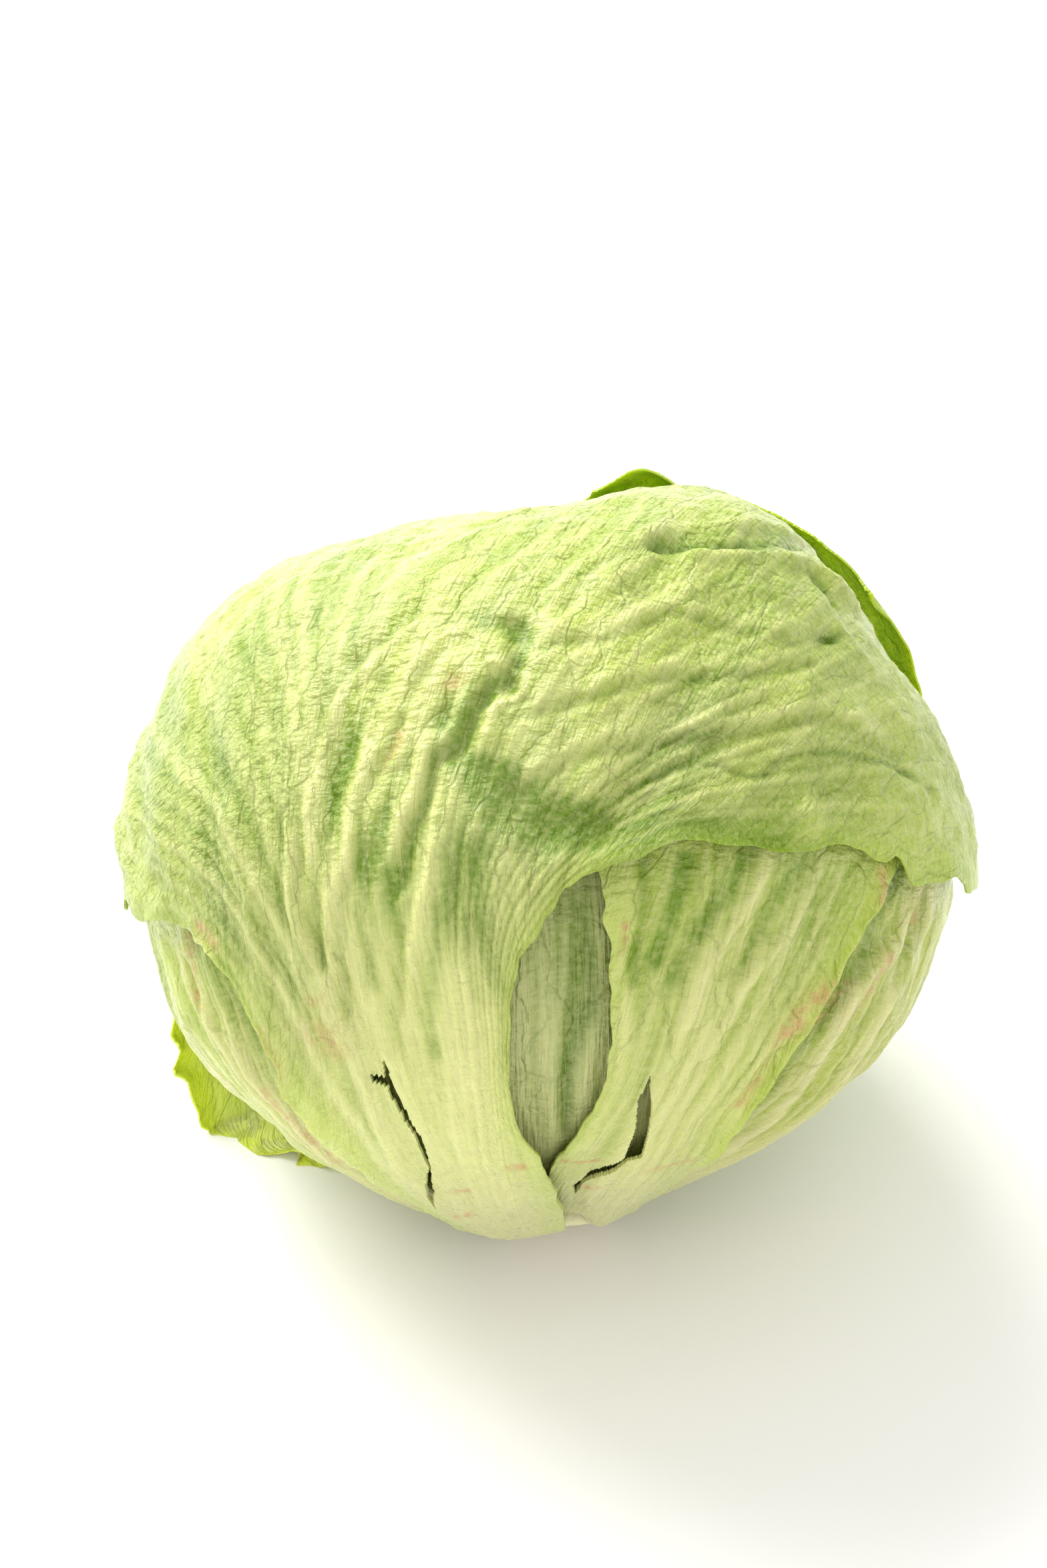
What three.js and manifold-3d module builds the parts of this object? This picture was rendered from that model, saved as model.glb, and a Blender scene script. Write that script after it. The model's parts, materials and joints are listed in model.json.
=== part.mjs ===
// A head of iceberg lettuce: a tight heart on a cut stem, wrapped in eleven loose outer leaves.
// The head lies on the lower back of its outer leaves, with the stem turned down and to the front.
// Row frame: +X right, +Y to the back, +Z up, millimetres, standing on z = 0.
//
// Every place on the head is a direction from its centre, given as two angles in degrees:
// the polar angle from the stem (0 at the stem, 180 at the crown) and the azimuth round the
// stem (0 at the front, 90 at the right, -90 at the left). A leaf is a net of such directions.
// Its height above the heart is the sum of the leaves that lie under it, so no two leaves meet.

import * as THREE from "three";
import { mergeVertices } from "three/addons/utils/BufferGeometryUtils.js";
import Module from "manifold-3d";

// ---- Driving dimensions ----
const STEM_TILT = 34; // angle of the stem from straight down, towards the front
const CENTRE_HEIGHT = 68.5; // head's centre above the surface it rests on
const HEAD_CENTRE = new THREE.Vector3(1.26, -1.5, CENTRE_HEIGHT); // above the middle of its box
const STEM_EDGE = 12.2; // polar angle of the stem's side
const LEAF_BASE = 12.8; // polar angle where every leaf starts
const STEM_CUT = 72.5; // centre of the head to the middle of the cut face
const HEART_END = 57; // centre of the head to where the heart ends under the stem
const STEM_INNER_END = 63; // centre of the head to the stem's inner end
const HEART_ROOM = 0.8; // further space round the heart, which is drawn more coarsely
const STEM_CUT_DISH = 0.8; // how far the cut face bulges at its middle
const BLADE = 0.9; // thickness of a leaf's blade
const RIB = 2.1; // thickness of a leaf where it joins the stem
const RIB_REACH = 20; // polar angle over which the rib thins to the blade
const GAP = 1.15; // clear space between a leaf and what it wraps
const COVER_REACH = 5; // angle past a leaf's edge that its thickness still counts in full
const COVER_FALL = 20; // angle over which it then falls to nothing
const COVER_FULL = 60; // polar angle below which both shrink with the head's girth
const COVER_SAMPLES = 25; // directions across and along a leaf that its cover is measured from
const FOOT_BLEND = 2.0; // rounding where the heart's flattened foot meets its side
const TEAR_DEPTHS = [50, 100]; // radii that the cut of a tear reaches from and to

// The head's outer radius against polar angle, on its left and on its right side.
const LEFT_PROFILE = [
  [0, 76], [20, 75.5], [35, 75], [50, 78], [65, 81.5], [80, 83.5], [95, 85.5], [110, 83.5],
  [125, 82.5], [136, 79], [149, 72.5], [165, 69], [180, 69],
];
const RIGHT_PROFILE = [
  [0, 76], [10, 73], [22, 69.5], [36, 69.5], [50, 71.5], [65, 75.5], [80, 79], [92, 81],
  [105, 79.5], [118, 78], [132, 78.5], [147, 80.5], [156, 79.5], [167, 75], [180, 69],
];

// ---- Small mathematics ----
const radians = (degrees) => THREE.MathUtils.degToRad(degrees);
const smoothstep = (x) => THREE.MathUtils.smoothstep(x, 0, 1);

// Catmull-Rom through evenly spaced numbers, for t from 0 to 1.
function spline(values, t) {
  const last = values.length - 1;
  const place = THREE.MathUtils.clamp(t, 0, 1) * last;
  const i = Math.min(Math.floor(place), last - 1);
  const f = place - i;
  const before = i > 0 ? values[i - 1] : 2 * values[0] - values[1];
  const after = i + 2 <= last ? values[i + 2] : 2 * values[last] - values[last - 1];
  const [a, b] = [values[i], values[i + 1]];
  const [inTangent, outTangent] = [(b - before) / 2, (after - a) / 2];
  const [f2, f3] = [f * f, f * f * f];
  return (2 * f3 - 3 * f2 + 1) * a + (f3 - 2 * f2 + f) * inTangent
    + (3 * f2 - 2 * f3) * b + (f3 - f2) * outTangent;
}

function splineVector(vectors, t) {
  return new THREE.Vector3(
    spline(vectors.map((v) => v.x), t),
    spline(vectors.map((v) => v.y), t),
    spline(vectors.map((v) => v.z), t),
  );
}

// A smooth curve through [x, y] pairs at uneven x.
function profileAt(pairs, x) {
  const last = pairs.length - 1;
  const above = pairs.findIndex((p) => p[0] > x);
  const i = above < 0 ? last - 1 : Math.max(0, above - 1);
  const slope = (k) => {
    const [from, to] = [pairs[Math.max(0, k - 1)], pairs[Math.min(last, k + 1)]];
    return k === 0 || k === last ? 0 : (to[1] - from[1]) / (to[0] - from[0]);
  };
  const [start, end] = [pairs[i], pairs[i + 1]];
  const width = end[0] - start[0];
  const f = THREE.MathUtils.clamp((x - start[0]) / width, 0, 1);
  const [f2, f3] = [f * f, f * f * f];
  return (2 * f3 - 3 * f2 + 1) * start[1] + (f3 - 2 * f2 + f) * width * slope(i)
    + (3 * f2 - 2 * f3) * end[1] + (f3 - f2) * width * slope(i + 1);
}

function smoothMinimum(a, b, blend) {
  const h = THREE.MathUtils.clamp(0.5 + (0.5 * (b - a)) / blend, 0, 1);
  return THREE.MathUtils.lerp(b, a, h) - blend * h * (1 - h);
}

// ---- Directions on the head ----
const STEM = new THREE.Vector3(0, -Math.sin(radians(STEM_TILT)), -Math.cos(radians(STEM_TILT)));
const FRONT = new THREE.Vector3(0, -Math.cos(radians(STEM_TILT)), Math.sin(radians(STEM_TILT)));
const RIGHT = new THREE.Vector3(1, 0, 0);

function direction(polar, azimuth) {
  const [p, a] = [radians(polar), radians(azimuth)];
  return new THREE.Vector3()
    .addScaledVector(STEM, Math.cos(p))
    .addScaledVector(FRONT, Math.sin(p) * Math.cos(a))
    .addScaledVector(RIGHT, Math.sin(p) * Math.sin(a));
}

const polarOf = (d) => THREE.MathUtils.radToDeg(Math.acos(THREE.MathUtils.clamp(d.dot(STEM), -1, 1)));

function outerRadius(d) {
  const polar = polarOf(d);
  const sideways = Math.hypot(d.dot(FRONT), d.dot(RIGHT));
  const rightness = 0.5 * (1 + (sideways > 0 ? d.dot(RIGHT) / sideways : 0));
  return THREE.MathUtils.lerp(profileAt(LEFT_PROFILE, polar), profileAt(RIGHT_PROFILE, polar), rightness);
}

const nearStem = (d) => Math.exp(-(((polarOf(d) - LEAF_BASE) / RIB_REACH) ** 2));
const leafThickness = (d) => BLADE + (RIB - BLADE) * nearStem(d);

// ---- Leaves ----
// A net is a list of guide veins from the leaf's left edge to its right, each a list of
// [polar, azimuth] from the stem outwards. All the veins of a net have as many points.

// The net of a plain leaf that opens from its base like a fan.
function fan({ centre, base, widest, tip, shoulder = 30 }) {
  const across = [-1, -0.5, 0, 0.5, 1];
  const along = [0, 0.12, 0.3, 0.52, 0.76, 1];
  return across.map((side) => along.map((part) => {
    const polar = LEAF_BASE + part * (tip - shoulder * side * side - LEAF_BASE);
    const half = base + (widest - base) * smoothstep((polar - LEAF_BASE) / 60);
    return [polar, centre + side * half];
  }));
}

// From the innermost leaf to the outermost. A lift raises the leaf round a place [across, along]
// (each 0 to 1) by rise, over a size [across, along]. A tear is the outline of a hole.
const LEAVES = [
  {
    name: "inner_front_leaf", color: 0x9dbb62, grid: [19, 16],
    net: fan({ centre: 2, base: 50, widest: 72, tip: 138 }),
  },
  {
    name: "crown_leaf", color: 0x9cc046, grid: [17, 18],
    net: fan({ centre: 96, base: 42, widest: 58, tip: 158, shoulder: 26 }),
  },
  {
    name: "back_right_leaf", color: 0xb3cc7c, grid: [15, 15],
    net: fan({ centre: 128, base: 40, widest: 50, tip: 132 }),
  },
  {
    name: "back_left_leaf", color: 0xb3cc7c, grid: [15, 15],
    net: fan({ centre: -130, base: 40, widest: 52, tip: 134 }),
  },
  {
    name: "right_leaf", color: 0xb9cd84, grid: [15, 15],
    net: fan({ centre: 68, base: 34, widest: 46, tip: 122, shoulder: 14 }),
  },
  {
    name: "left_lower_leaf", color: 0xb9cd84, grid: [15, 15],
    net: fan({ centre: -88, base: 36, widest: 42, tip: 118, shoulder: 16 }),
  },
  {
    name: "front_right_leaf", color: 0xb7cc83, grid: [13, 16],
    net: [
      [[LEAF_BASE, -6], [40, -1], [62, 7], [80, 7], [97, 5], [120, 0]],
      [[LEAF_BASE, 11], [40, 11], [61, 14], [79, 17], [97, 21], [124, 22]],
      [[LEAF_BASE, 30], [40, 21], [59, 21], [77, 26], [95, 33], [120, 44]],
      [[LEAF_BASE, 45], [39, 30], [57, 28], [74, 33], [92, 43], [113, 59]],
      [[LEAF_BASE, 60], [38, 38], [55, 34], [72, 38], [88, 49], [104, 68]],
    ],
    tear: [
      [65, 14.2], [55, 16.4], [46, 18], [41, 14], [34, 8.5], [26, 7.5],
      [31, 4.8], [38, 7], [45, 13.5], [53, 13.2], [60, 13],
    ],
  },
  {
    name: "left_leaf", color: 0xb7cc83, grid: [11, 14],
    net: [
      [[LEAF_BASE, -100], [36, -77], [55, -66], [71, -66], [86, -74], [104, -84]],
      [[LEAF_BASE, -82], [37, -66], [56, -58], [74, -57], [90, -62], [112, -68]],
      [[LEAF_BASE, -64], [38, -54], [58, -47], [77, -46], [93, -48], [114, -50]],
      [[LEAF_BASE, -46], [38, -40], [60, -32], [78, -30], [93, -30], [110, -30]],
    ],
  },
  {
    name: "front_wrapper_leaf", color: 0xb4cd7d, grid: [27, 22],
    net: [
      [[LEAF_BASE, -64], [40, -45], [56, -42], [70, -43], [84, -53], [85, -78], [90, -110]],
      [[LEAF_BASE, -53], [39, -35], [60, -31], [80, -35], [98, -48], [108, -80], [118, -130]],
      [[LEAF_BASE, -40], [38, -25], [67, -21], [94, -27], [122, -37], [148, -65], [142, -163]],
      [[LEAF_BASE, -29], [38, -18], [69, -14], [99, -15], [125, -9], [153, 28], [150, 163]],
      [[LEAF_BASE, -20], [38, -12], [69, -10], [95, -9], [118, 7], [136, 52], [138, 124]],
      [[LEAF_BASE, -12], [38, -8], [68, -8], [91, -5], [107, 13], [116, 52], [115, 102]],
      [[LEAF_BASE, 8], [38, 0], [66, -7], [86, -3], [97, 10], [95, 45], [85, 80]],
    ],
    lifts: [
      { at: [1, 0.66], size: [0.12, 0.14], rise: 2.2 },
      { at: [1, 1], size: [0.14, 0.1], rise: 2.5 },
    ],
    tear: [
      [69, -23], [61, -24], [53, -23.3], [45, -26], [36, -31.5], [28, -40],
      [33, -35.5], [44, -28.5], [54, -26], [61, -26], [65, -27.5],
    ],
  },
  {
    name: "back_leaf", color: 0x86ad3e, grid: [19, 20],
    net: [
      [[LEAF_BASE, 128], [40, 118], [70, 109], [100, 102], [127, 100]],
      [[LEAF_BASE, 142], [42, 132], [78, 123], [116, 118], [149, 118]],
      [[LEAF_BASE, 157], [43, 148], [80, 142], [115, 138], [146, 132]],
      [[LEAF_BASE, 172], [44, 166], [84, 162], [124, 156], [163, 146]],
      [[LEAF_BASE, 187], [44, 184], [82, 184], [118, 184], [144, 180]],
      [[LEAF_BASE, 201], [43, 203], [76, 206], [106, 208], [134, 208]],
      [[LEAF_BASE, 216], [40, 222], [66, 226], [92, 226], [114, 224]],
    ],
    lifts: [
      { at: [0.5, 1], size: [0.08, 0.1], rise: 5 },
      { at: [0.03, 0.95], size: [0.09, 0.1], rise: 4.5 },
    ],
  },
  {
    name: "under_leaf", color: 0xa9c63c, grid: [17, 14],
    net: fan({ centre: -172, base: 50, widest: 62, tip: 96, shoulder: 14 }),
    lifts: [{ at: [1, 0.62], size: [0.13, 0.2], rise: 17 }],
  },
];

const guideVectors = (net) => net.map((vein) => vein.map(([polar, azimuth]) => direction(polar, azimuth)));

// The direction at [across, along] on a leaf's net.
function onNet(guides, across, along) {
  return splineVector(guides.map((vein) => splineVector(vein, along)), across).normalize();
}

function coverSamples(guides) {
  const samples = [];
  for (let i = 0; i < COVER_SAMPLES; i++)
    for (let j = 0; j < COVER_SAMPLES; j++)
      samples.push(onNet(guides, i / (COVER_SAMPLES - 1), j / (COVER_SAMPLES - 1)));
  return samples;
}

for (const leaf of LEAVES) {
  leaf.guides = guideVectors(leaf.net);
  leaf.samples = coverSamples(leaf.guides);
}

// 1 where the leaf lies, falling to 0 past its edge.
function cover(leaf, d) {
  let nearest = -1;
  for (const s of leaf.samples) nearest = Math.max(nearest, s.dot(d));
  const angle = THREE.MathUtils.radToDeg(Math.acos(Math.min(1, nearest)));
  const girth = Math.sin(radians(Math.min(polarOf(d), COVER_FULL))) / Math.sin(radians(COVER_FULL));
  const scale = Math.max(girth, Math.sin(radians(LEAF_BASE)));
  return smoothstep((COVER_REACH + COVER_FALL - angle / scale) / COVER_FALL);
}

// Thickness and gaps of the leaves that lie under leaf number `layer` in direction d.
function stackBelow(layer, d) {
  let height = GAP;
  for (const leaf of LEAVES.slice(0, layer)) height += cover(leaf, d) * (leafThickness(d) + GAP);
  return height;
}

// The heart's radius: so far inside the outer profile, and underneath so far above the surface
// that the head rests on, that the leaves fill the room between.
function heartRadius(d) {
  const round = outerRadius(d);
  const outermost = d.z > -0.2 ? round : smoothMinimum(round, CENTRE_HEIGHT / -d.z, FOOT_BLEND);
  return outermost - (stackBelow(LEAVES.length, d) - GAP);
}

function heartSurface(d) {
  return polarOf(d) < LEAF_BASE ? HEART_END : heartRadius(d) - HEART_ROOM;
}

function liftAt(leaf, across, along) {
  return (leaf.lifts ?? []).reduce((sum, { at, size, rise }) => sum
    + rise * Math.exp(-(((across - at[0]) / size[0]) ** 2) - ((along - at[1]) / size[1]) ** 2), 0);
}

// A closed mesh from a grid of points on each side of a leaf: two skins joined round the edge.
function shellGeometry(outer, inner, columns, rows) {
  const index = [];
  const skin = outer.length;
  const at = (i, j) => i * rows + j;
  const quad = (a, b, c, d) => index.push(a, b, c, a, c, d);
  for (let i = 0; i < columns - 1; i++)
    for (let j = 0; j < rows - 1; j++) {
      const corners = [at(i, j), at(i + 1, j), at(i + 1, j + 1), at(i, j + 1)];
      quad(...corners);
      quad(...corners.map((k) => k + skin).reverse());
    }
  const rim = (a, b) => quad(b, a, a + skin, b + skin);
  for (let i = 0; i < columns - 1; i++) {
    rim(at(i, 0), at(i + 1, 0));
    rim(at(i + 1, rows - 1), at(i, rows - 1));
  }
  for (let j = 0; j < rows - 1; j++) {
    rim(at(0, j + 1), at(0, j));
    rim(at(columns - 1, j), at(columns - 1, j + 1));
  }
  const geometry = new THREE.BufferGeometry();
  geometry.setAttribute("position",
    new THREE.Float32BufferAttribute([...outer, ...inner].flatMap((p) => p.toArray()), 3));
  geometry.setIndex(index);
  return geometry;
}

function leafGeometry(leaf, layer) {
  const [columns, rows] = leaf.grid;
  const [outer, inner] = [[], []];
  for (let i = 0; i < columns; i++)
    for (let j = 0; j < rows; j++) {
      const [across, along] = [i / (columns - 1), j / (rows - 1)];
      const d = onNet(leaf.guides, across, along);
      const radius = heartRadius(d) + stackBelow(layer, d) + liftAt(leaf, across, along);
      const place = (r, lowest) => {
        const p = HEAD_CENTRE.clone().addScaledVector(d, r);
        return p.setZ(Math.max(p.z, lowest));
      };
      outer.push(place(radius + leafThickness(d), 0));
      inner.push(place(radius, 0.75 * BLADE));
    }
  return shellGeometry(outer, inner, columns, rows);
}

// ---- Tears ----
const wasm = await Module();
wasm.setup();

function solidFrom(geometry) {
  const vertProperties = new Float32Array(geometry.getAttribute("position").array);
  const triVerts = new Uint32Array(geometry.getIndex().array);
  return new wasm.Manifold(new wasm.Mesh({ numProp: 3, vertProperties, triVerts }));
}

function geometryFrom(solid) {
  const { vertProperties, triVerts } = solid.getMesh();
  const geometry = new THREE.BufferGeometry();
  geometry.setAttribute("position", new THREE.Float32BufferAttribute(vertProperties, 3));
  geometry.setIndex([...triVerts]);
  return geometry;
}

// A wedge with its point towards the head's centre and the tear's outline as its section.
function tearWedge(outline) {
  const rim = outline.map(([polar, azimuth]) => new THREE.Vector2(azimuth, polar));
  if (THREE.ShapeUtils.isClockWise(rim)) rim.reverse();
  const [deep, high] = TEAR_DEPTHS.map((radius) => rim.map(({ x: azimuth, y: polar }) =>
    HEAD_CENTRE.clone().addScaledVector(direction(polar, azimuth), radius)));
  const count = rim.length;
  const faces = THREE.ShapeUtils.triangulateShape(rim, []);
  const index = faces.flatMap(([a, b, c]) => [a, c, b, a + count, b + count, c + count]);
  for (let a = 0; a < count; a++) {
    const b = (a + 1) % count;
    index.push(a, b, b + count, a, b + count, a + count);
  }
  const geometry = new THREE.BufferGeometry();
  geometry.setAttribute("position",
    new THREE.Float32BufferAttribute([...deep, ...high].flatMap((p) => p.toArray()), 3));
  geometry.setIndex(index);
  return geometry;
}

function torn(geometry, outline) {
  return geometryFrom(solidFrom(geometry).subtract(solidFrom(tearWedge(outline))));
}

// ---- Heart and stem ----
function heartGeometry() {
  const geometry = new THREE.SphereGeometry(1, 48, 30);
  for (const name of ["normal", "uv"]) geometry.deleteAttribute(name);
  const position = geometry.getAttribute("position");
  const d = new THREE.Vector3();
  for (let i = 0; i < position.count; i++) {
    d.fromBufferAttribute(position, i).normalize();
    d.multiplyScalar(heartSurface(d)).add(HEAD_CENTRE);
    position.setXYZ(i, d.x, d.y, d.z);
  }
  return mergeVertices(geometry, 1e-4);
}

// Turned about its own +Y: a plug that widens to the cut, with its inner end hollowed to the heart.
function stemGeometry() {
  const edge = radians(STEM_EDGE);
  const cutEdge = STEM_CUT - STEM_CUT_DISH;
  const profile = [
    [0, STEM_INNER_END],
    [STEM_INNER_END * Math.sin(edge / 2), STEM_INNER_END * Math.cos(edge / 2)],
    [STEM_INNER_END * Math.sin(edge), STEM_INNER_END * Math.cos(edge)],
    [cutEdge * Math.tan(edge) - 0.6, cutEdge - 1.0],
    [cutEdge * Math.tan(edge) - 1.4, cutEdge],
    [cutEdge * Math.tan(edge) / 2, STEM_CUT - 0.3],
    [0, STEM_CUT],
  ].map(([x, y]) => new THREE.Vector2(x, y));
  return new THREE.LatheGeometry(profile, 24);
}

// ---- Assembly ----
const finish = (color, roughness) => new THREE.MeshStandardMaterial({ color, roughness, metalness: 0 });

function named(name, geometry, material) {
  const mesh = new THREE.Mesh(geometry, material);
  mesh.name = name;
  return mesh;
}

const lettuce = new THREE.Group();
lettuce.add(named("heart", heartGeometry(), finish(0xc3d590, 0.5)));

const stem = named("stem", stemGeometry(), finish(0xdfe0bd, 0.6));
stem.quaternion.setFromUnitVectors(new THREE.Vector3(0, 1, 0), STEM);
stem.position.copy(HEAD_CENTRE);
lettuce.add(stem);

LEAVES.forEach((leaf, layer) => {
  const whole = leafGeometry(leaf, layer);
  const geometry = leaf.tear ? torn(whole, leaf.tear) : whole;
  lettuce.add(named(leaf.name, geometry, finish(leaf.color, 0.45)));
});

export default lettuce;
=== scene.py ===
"""A head of iceberg lettuce, leaf by leaf, in the looks of the fresh vegetable.

Every place on the head is a direction from its centre, given as a polar angle from the stem and an
azimuth round it, in degrees: 0 at the front, 90 at the right, -90 at the left. A leaf is a net of
guide veins through such places. Its height is worked out from the leaves that lie under it.
Lengths are in millimetres until a mesh is made, which is in metres.
"""

import json
import logging
import math
from dataclasses import dataclass, field
from enum import Enum
from typing import ClassVar

import bpy
import numpy as np
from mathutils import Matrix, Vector

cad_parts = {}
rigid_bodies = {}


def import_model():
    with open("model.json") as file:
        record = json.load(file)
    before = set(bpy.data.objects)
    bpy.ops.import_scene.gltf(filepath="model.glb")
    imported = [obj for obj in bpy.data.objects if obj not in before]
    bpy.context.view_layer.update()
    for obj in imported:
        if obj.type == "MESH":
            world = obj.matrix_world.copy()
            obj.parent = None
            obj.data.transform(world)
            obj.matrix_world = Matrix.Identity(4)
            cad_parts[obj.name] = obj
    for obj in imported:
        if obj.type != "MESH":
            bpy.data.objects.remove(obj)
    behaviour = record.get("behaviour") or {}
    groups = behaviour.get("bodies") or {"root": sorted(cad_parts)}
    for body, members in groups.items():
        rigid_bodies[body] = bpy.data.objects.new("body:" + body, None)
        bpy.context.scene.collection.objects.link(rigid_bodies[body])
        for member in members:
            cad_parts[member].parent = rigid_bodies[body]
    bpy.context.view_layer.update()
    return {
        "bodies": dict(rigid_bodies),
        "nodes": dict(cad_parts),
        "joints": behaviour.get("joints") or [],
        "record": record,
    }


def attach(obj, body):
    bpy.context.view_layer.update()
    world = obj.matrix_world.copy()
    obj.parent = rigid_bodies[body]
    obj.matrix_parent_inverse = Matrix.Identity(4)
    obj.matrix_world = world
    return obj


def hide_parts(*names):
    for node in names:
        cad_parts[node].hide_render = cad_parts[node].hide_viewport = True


log = logging.getLogger("lettuce")

MILLIMETRE = 0.001
Array = np.ndarray
Place = tuple[float, float]
Path = tuple[Place, ...]
Colour = tuple[float, float, float, float]
Socket = bpy.types.NodeSocket


# ---- Small mathematics ----

def smooth(x: Array | float) -> Array | float:
    """Rise smoothly from 0 at x = 0 to 1 at x = 1."""
    t = np.clip(x, 0.0, 1.0)
    return t * t * (3.0 - 2.0 * t)


def bell(x: Array | float) -> Array | float:
    """A bump of height 1 and half-width about 1 at x = 0."""
    return np.exp(-np.square(x))


def spline_weights(points: int, t: Array) -> Array:
    """Weights of Catmull-Rom through evenly spaced points.

    Args:
        points: how many points the curve goes through.
        t: places along the curve, 0 to 1.

    Returns:
        One row of weights for each place, one column for each point.
    """
    last = points - 1
    place = np.clip(t, 0.0, 1.0) * last
    start = np.minimum(np.floor(place).astype(int), last - 1)
    f = place - start
    rows = np.arange(len(t))
    weights = np.zeros((len(t), points))
    curve = {
        -1: (-f + 2 * f**2 - f**3) / 2,
        0: (2 - 5 * f**2 + 3 * f**3) / 2,
        1: (f + 4 * f**2 - 3 * f**3) / 2,
        2: (-(f**2) + f**3) / 2,
    }
    for step, weight in curve.items():
        column = start + step
        inside = (column >= 0) & (column <= last)
        np.add.at(weights, (rows[inside], column[inside]), weight[inside])
        for edge, inner in ((0, 1), (last, last - 1)):
            past = (column < 0) if edge == 0 else (column > last)
            np.add.at(weights, (rows[past], np.full(past.sum(), edge)), 2 * weight[past])
            np.add.at(weights, (rows[past], np.full(past.sum(), inner)), -weight[past])
    return weights


def profile(pairs: list[tuple[float, float]], x: Array) -> Array:
    """A smooth curve through (x, y) pairs at uneven x, level at both ends."""
    xs = np.array([p[0] for p in pairs], float)
    ys = np.array([p[1] for p in pairs], float)
    slope = np.zeros(len(xs))
    slope[1:-1] = (ys[2:] - ys[:-2]) / (xs[2:] - xs[:-2])
    i = np.clip(np.searchsorted(xs, x, side="right") - 1, 0, len(xs) - 2)
    width = xs[i + 1] - xs[i]
    f = np.clip((x - xs[i]) / width, 0.0, 1.0)
    return ((2 * f**3 - 3 * f**2 + 1) * ys[i] + (f**3 - 2 * f**2 + f) * width * slope[i]
            + (3 * f**2 - 2 * f**3) * ys[i + 1] + (f**3 - f**2) * width * slope[i + 1])


@dataclass(frozen=True)
class Grain:
    """Smooth random values over a plane, the same on every run."""

    seed: int
    size: int = 64

    def at(self, x: Array, y: Array) -> Array:
        """Read the grain.

        Args:
            x: first coordinate; one unit is one random value.
            y: second coordinate.

        Returns:
            Values from about -1 to 1.
        """
        table = np.random.default_rng(self.seed).uniform(-1.0, 1.0, (self.size, self.size))
        i, j = np.floor(x).astype(int), np.floor(y).astype(int)
        u, v = smooth(x - i), smooth(y - j)
        i0, j0, i1, j1 = (k % self.size for k in (i, j, i + 1, j + 1))
        low = table[i0, j0] * (1 - u) + table[i1, j0] * u
        high = table[i0, j1] * (1 - u) + table[i1, j1] * u
        return low * (1 - v) + high * v

    def layered(self, x: Array, y: Array, layers: int = 3) -> Array:
        """The grain with finer grain added, each layer half as strong and twice as fine."""
        return sum(Grain(self.seed + 17 * k, self.size).at(x * 2**k + 3.7 * k, y * 2**k + 9.1 * k) / 2**k
                   for k in range(layers))


# ---- The head's form ----

@dataclass(frozen=True)
class Lift:
    """A place [across, along] a leaf, 0 to 1 each, where it stands away from the head."""

    at: Place
    size: Place
    rise: float


@dataclass(frozen=True)
class Net:
    """A leaf's guide veins, from its left edge to its right, each from the stem outwards."""

    veins: tuple[Path, ...]


@dataclass(frozen=True)
class Fan:
    """The net of a plain leaf that opens from its base like a fan."""

    centre: float
    base: float
    widest: float
    tip: float
    shoulder: float = 30.0

    def net(self, leaf_base: float) -> Net:
        """Work out the guide veins.

        Args:
            leaf_base: polar angle where the leaf starts.

        Returns:
            Five guide veins of six places each.
        """
        veins = []
        for side in (-1.0, -0.5, 0.0, 0.5, 1.0):
            vein = []
            for part in (0.0, 0.12, 0.3, 0.52, 0.76, 1.0):
                polar = leaf_base + part * (self.tip - self.shoulder * side * side - leaf_base)
                half = self.base + (self.widest - self.base) * float(smooth((polar - leaf_base) / 60))
                vein.append((polar, self.centre + side * half))
            veins.append(tuple(vein))
        return Net(tuple(veins))


LEAF_BASE = 12.8


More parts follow.
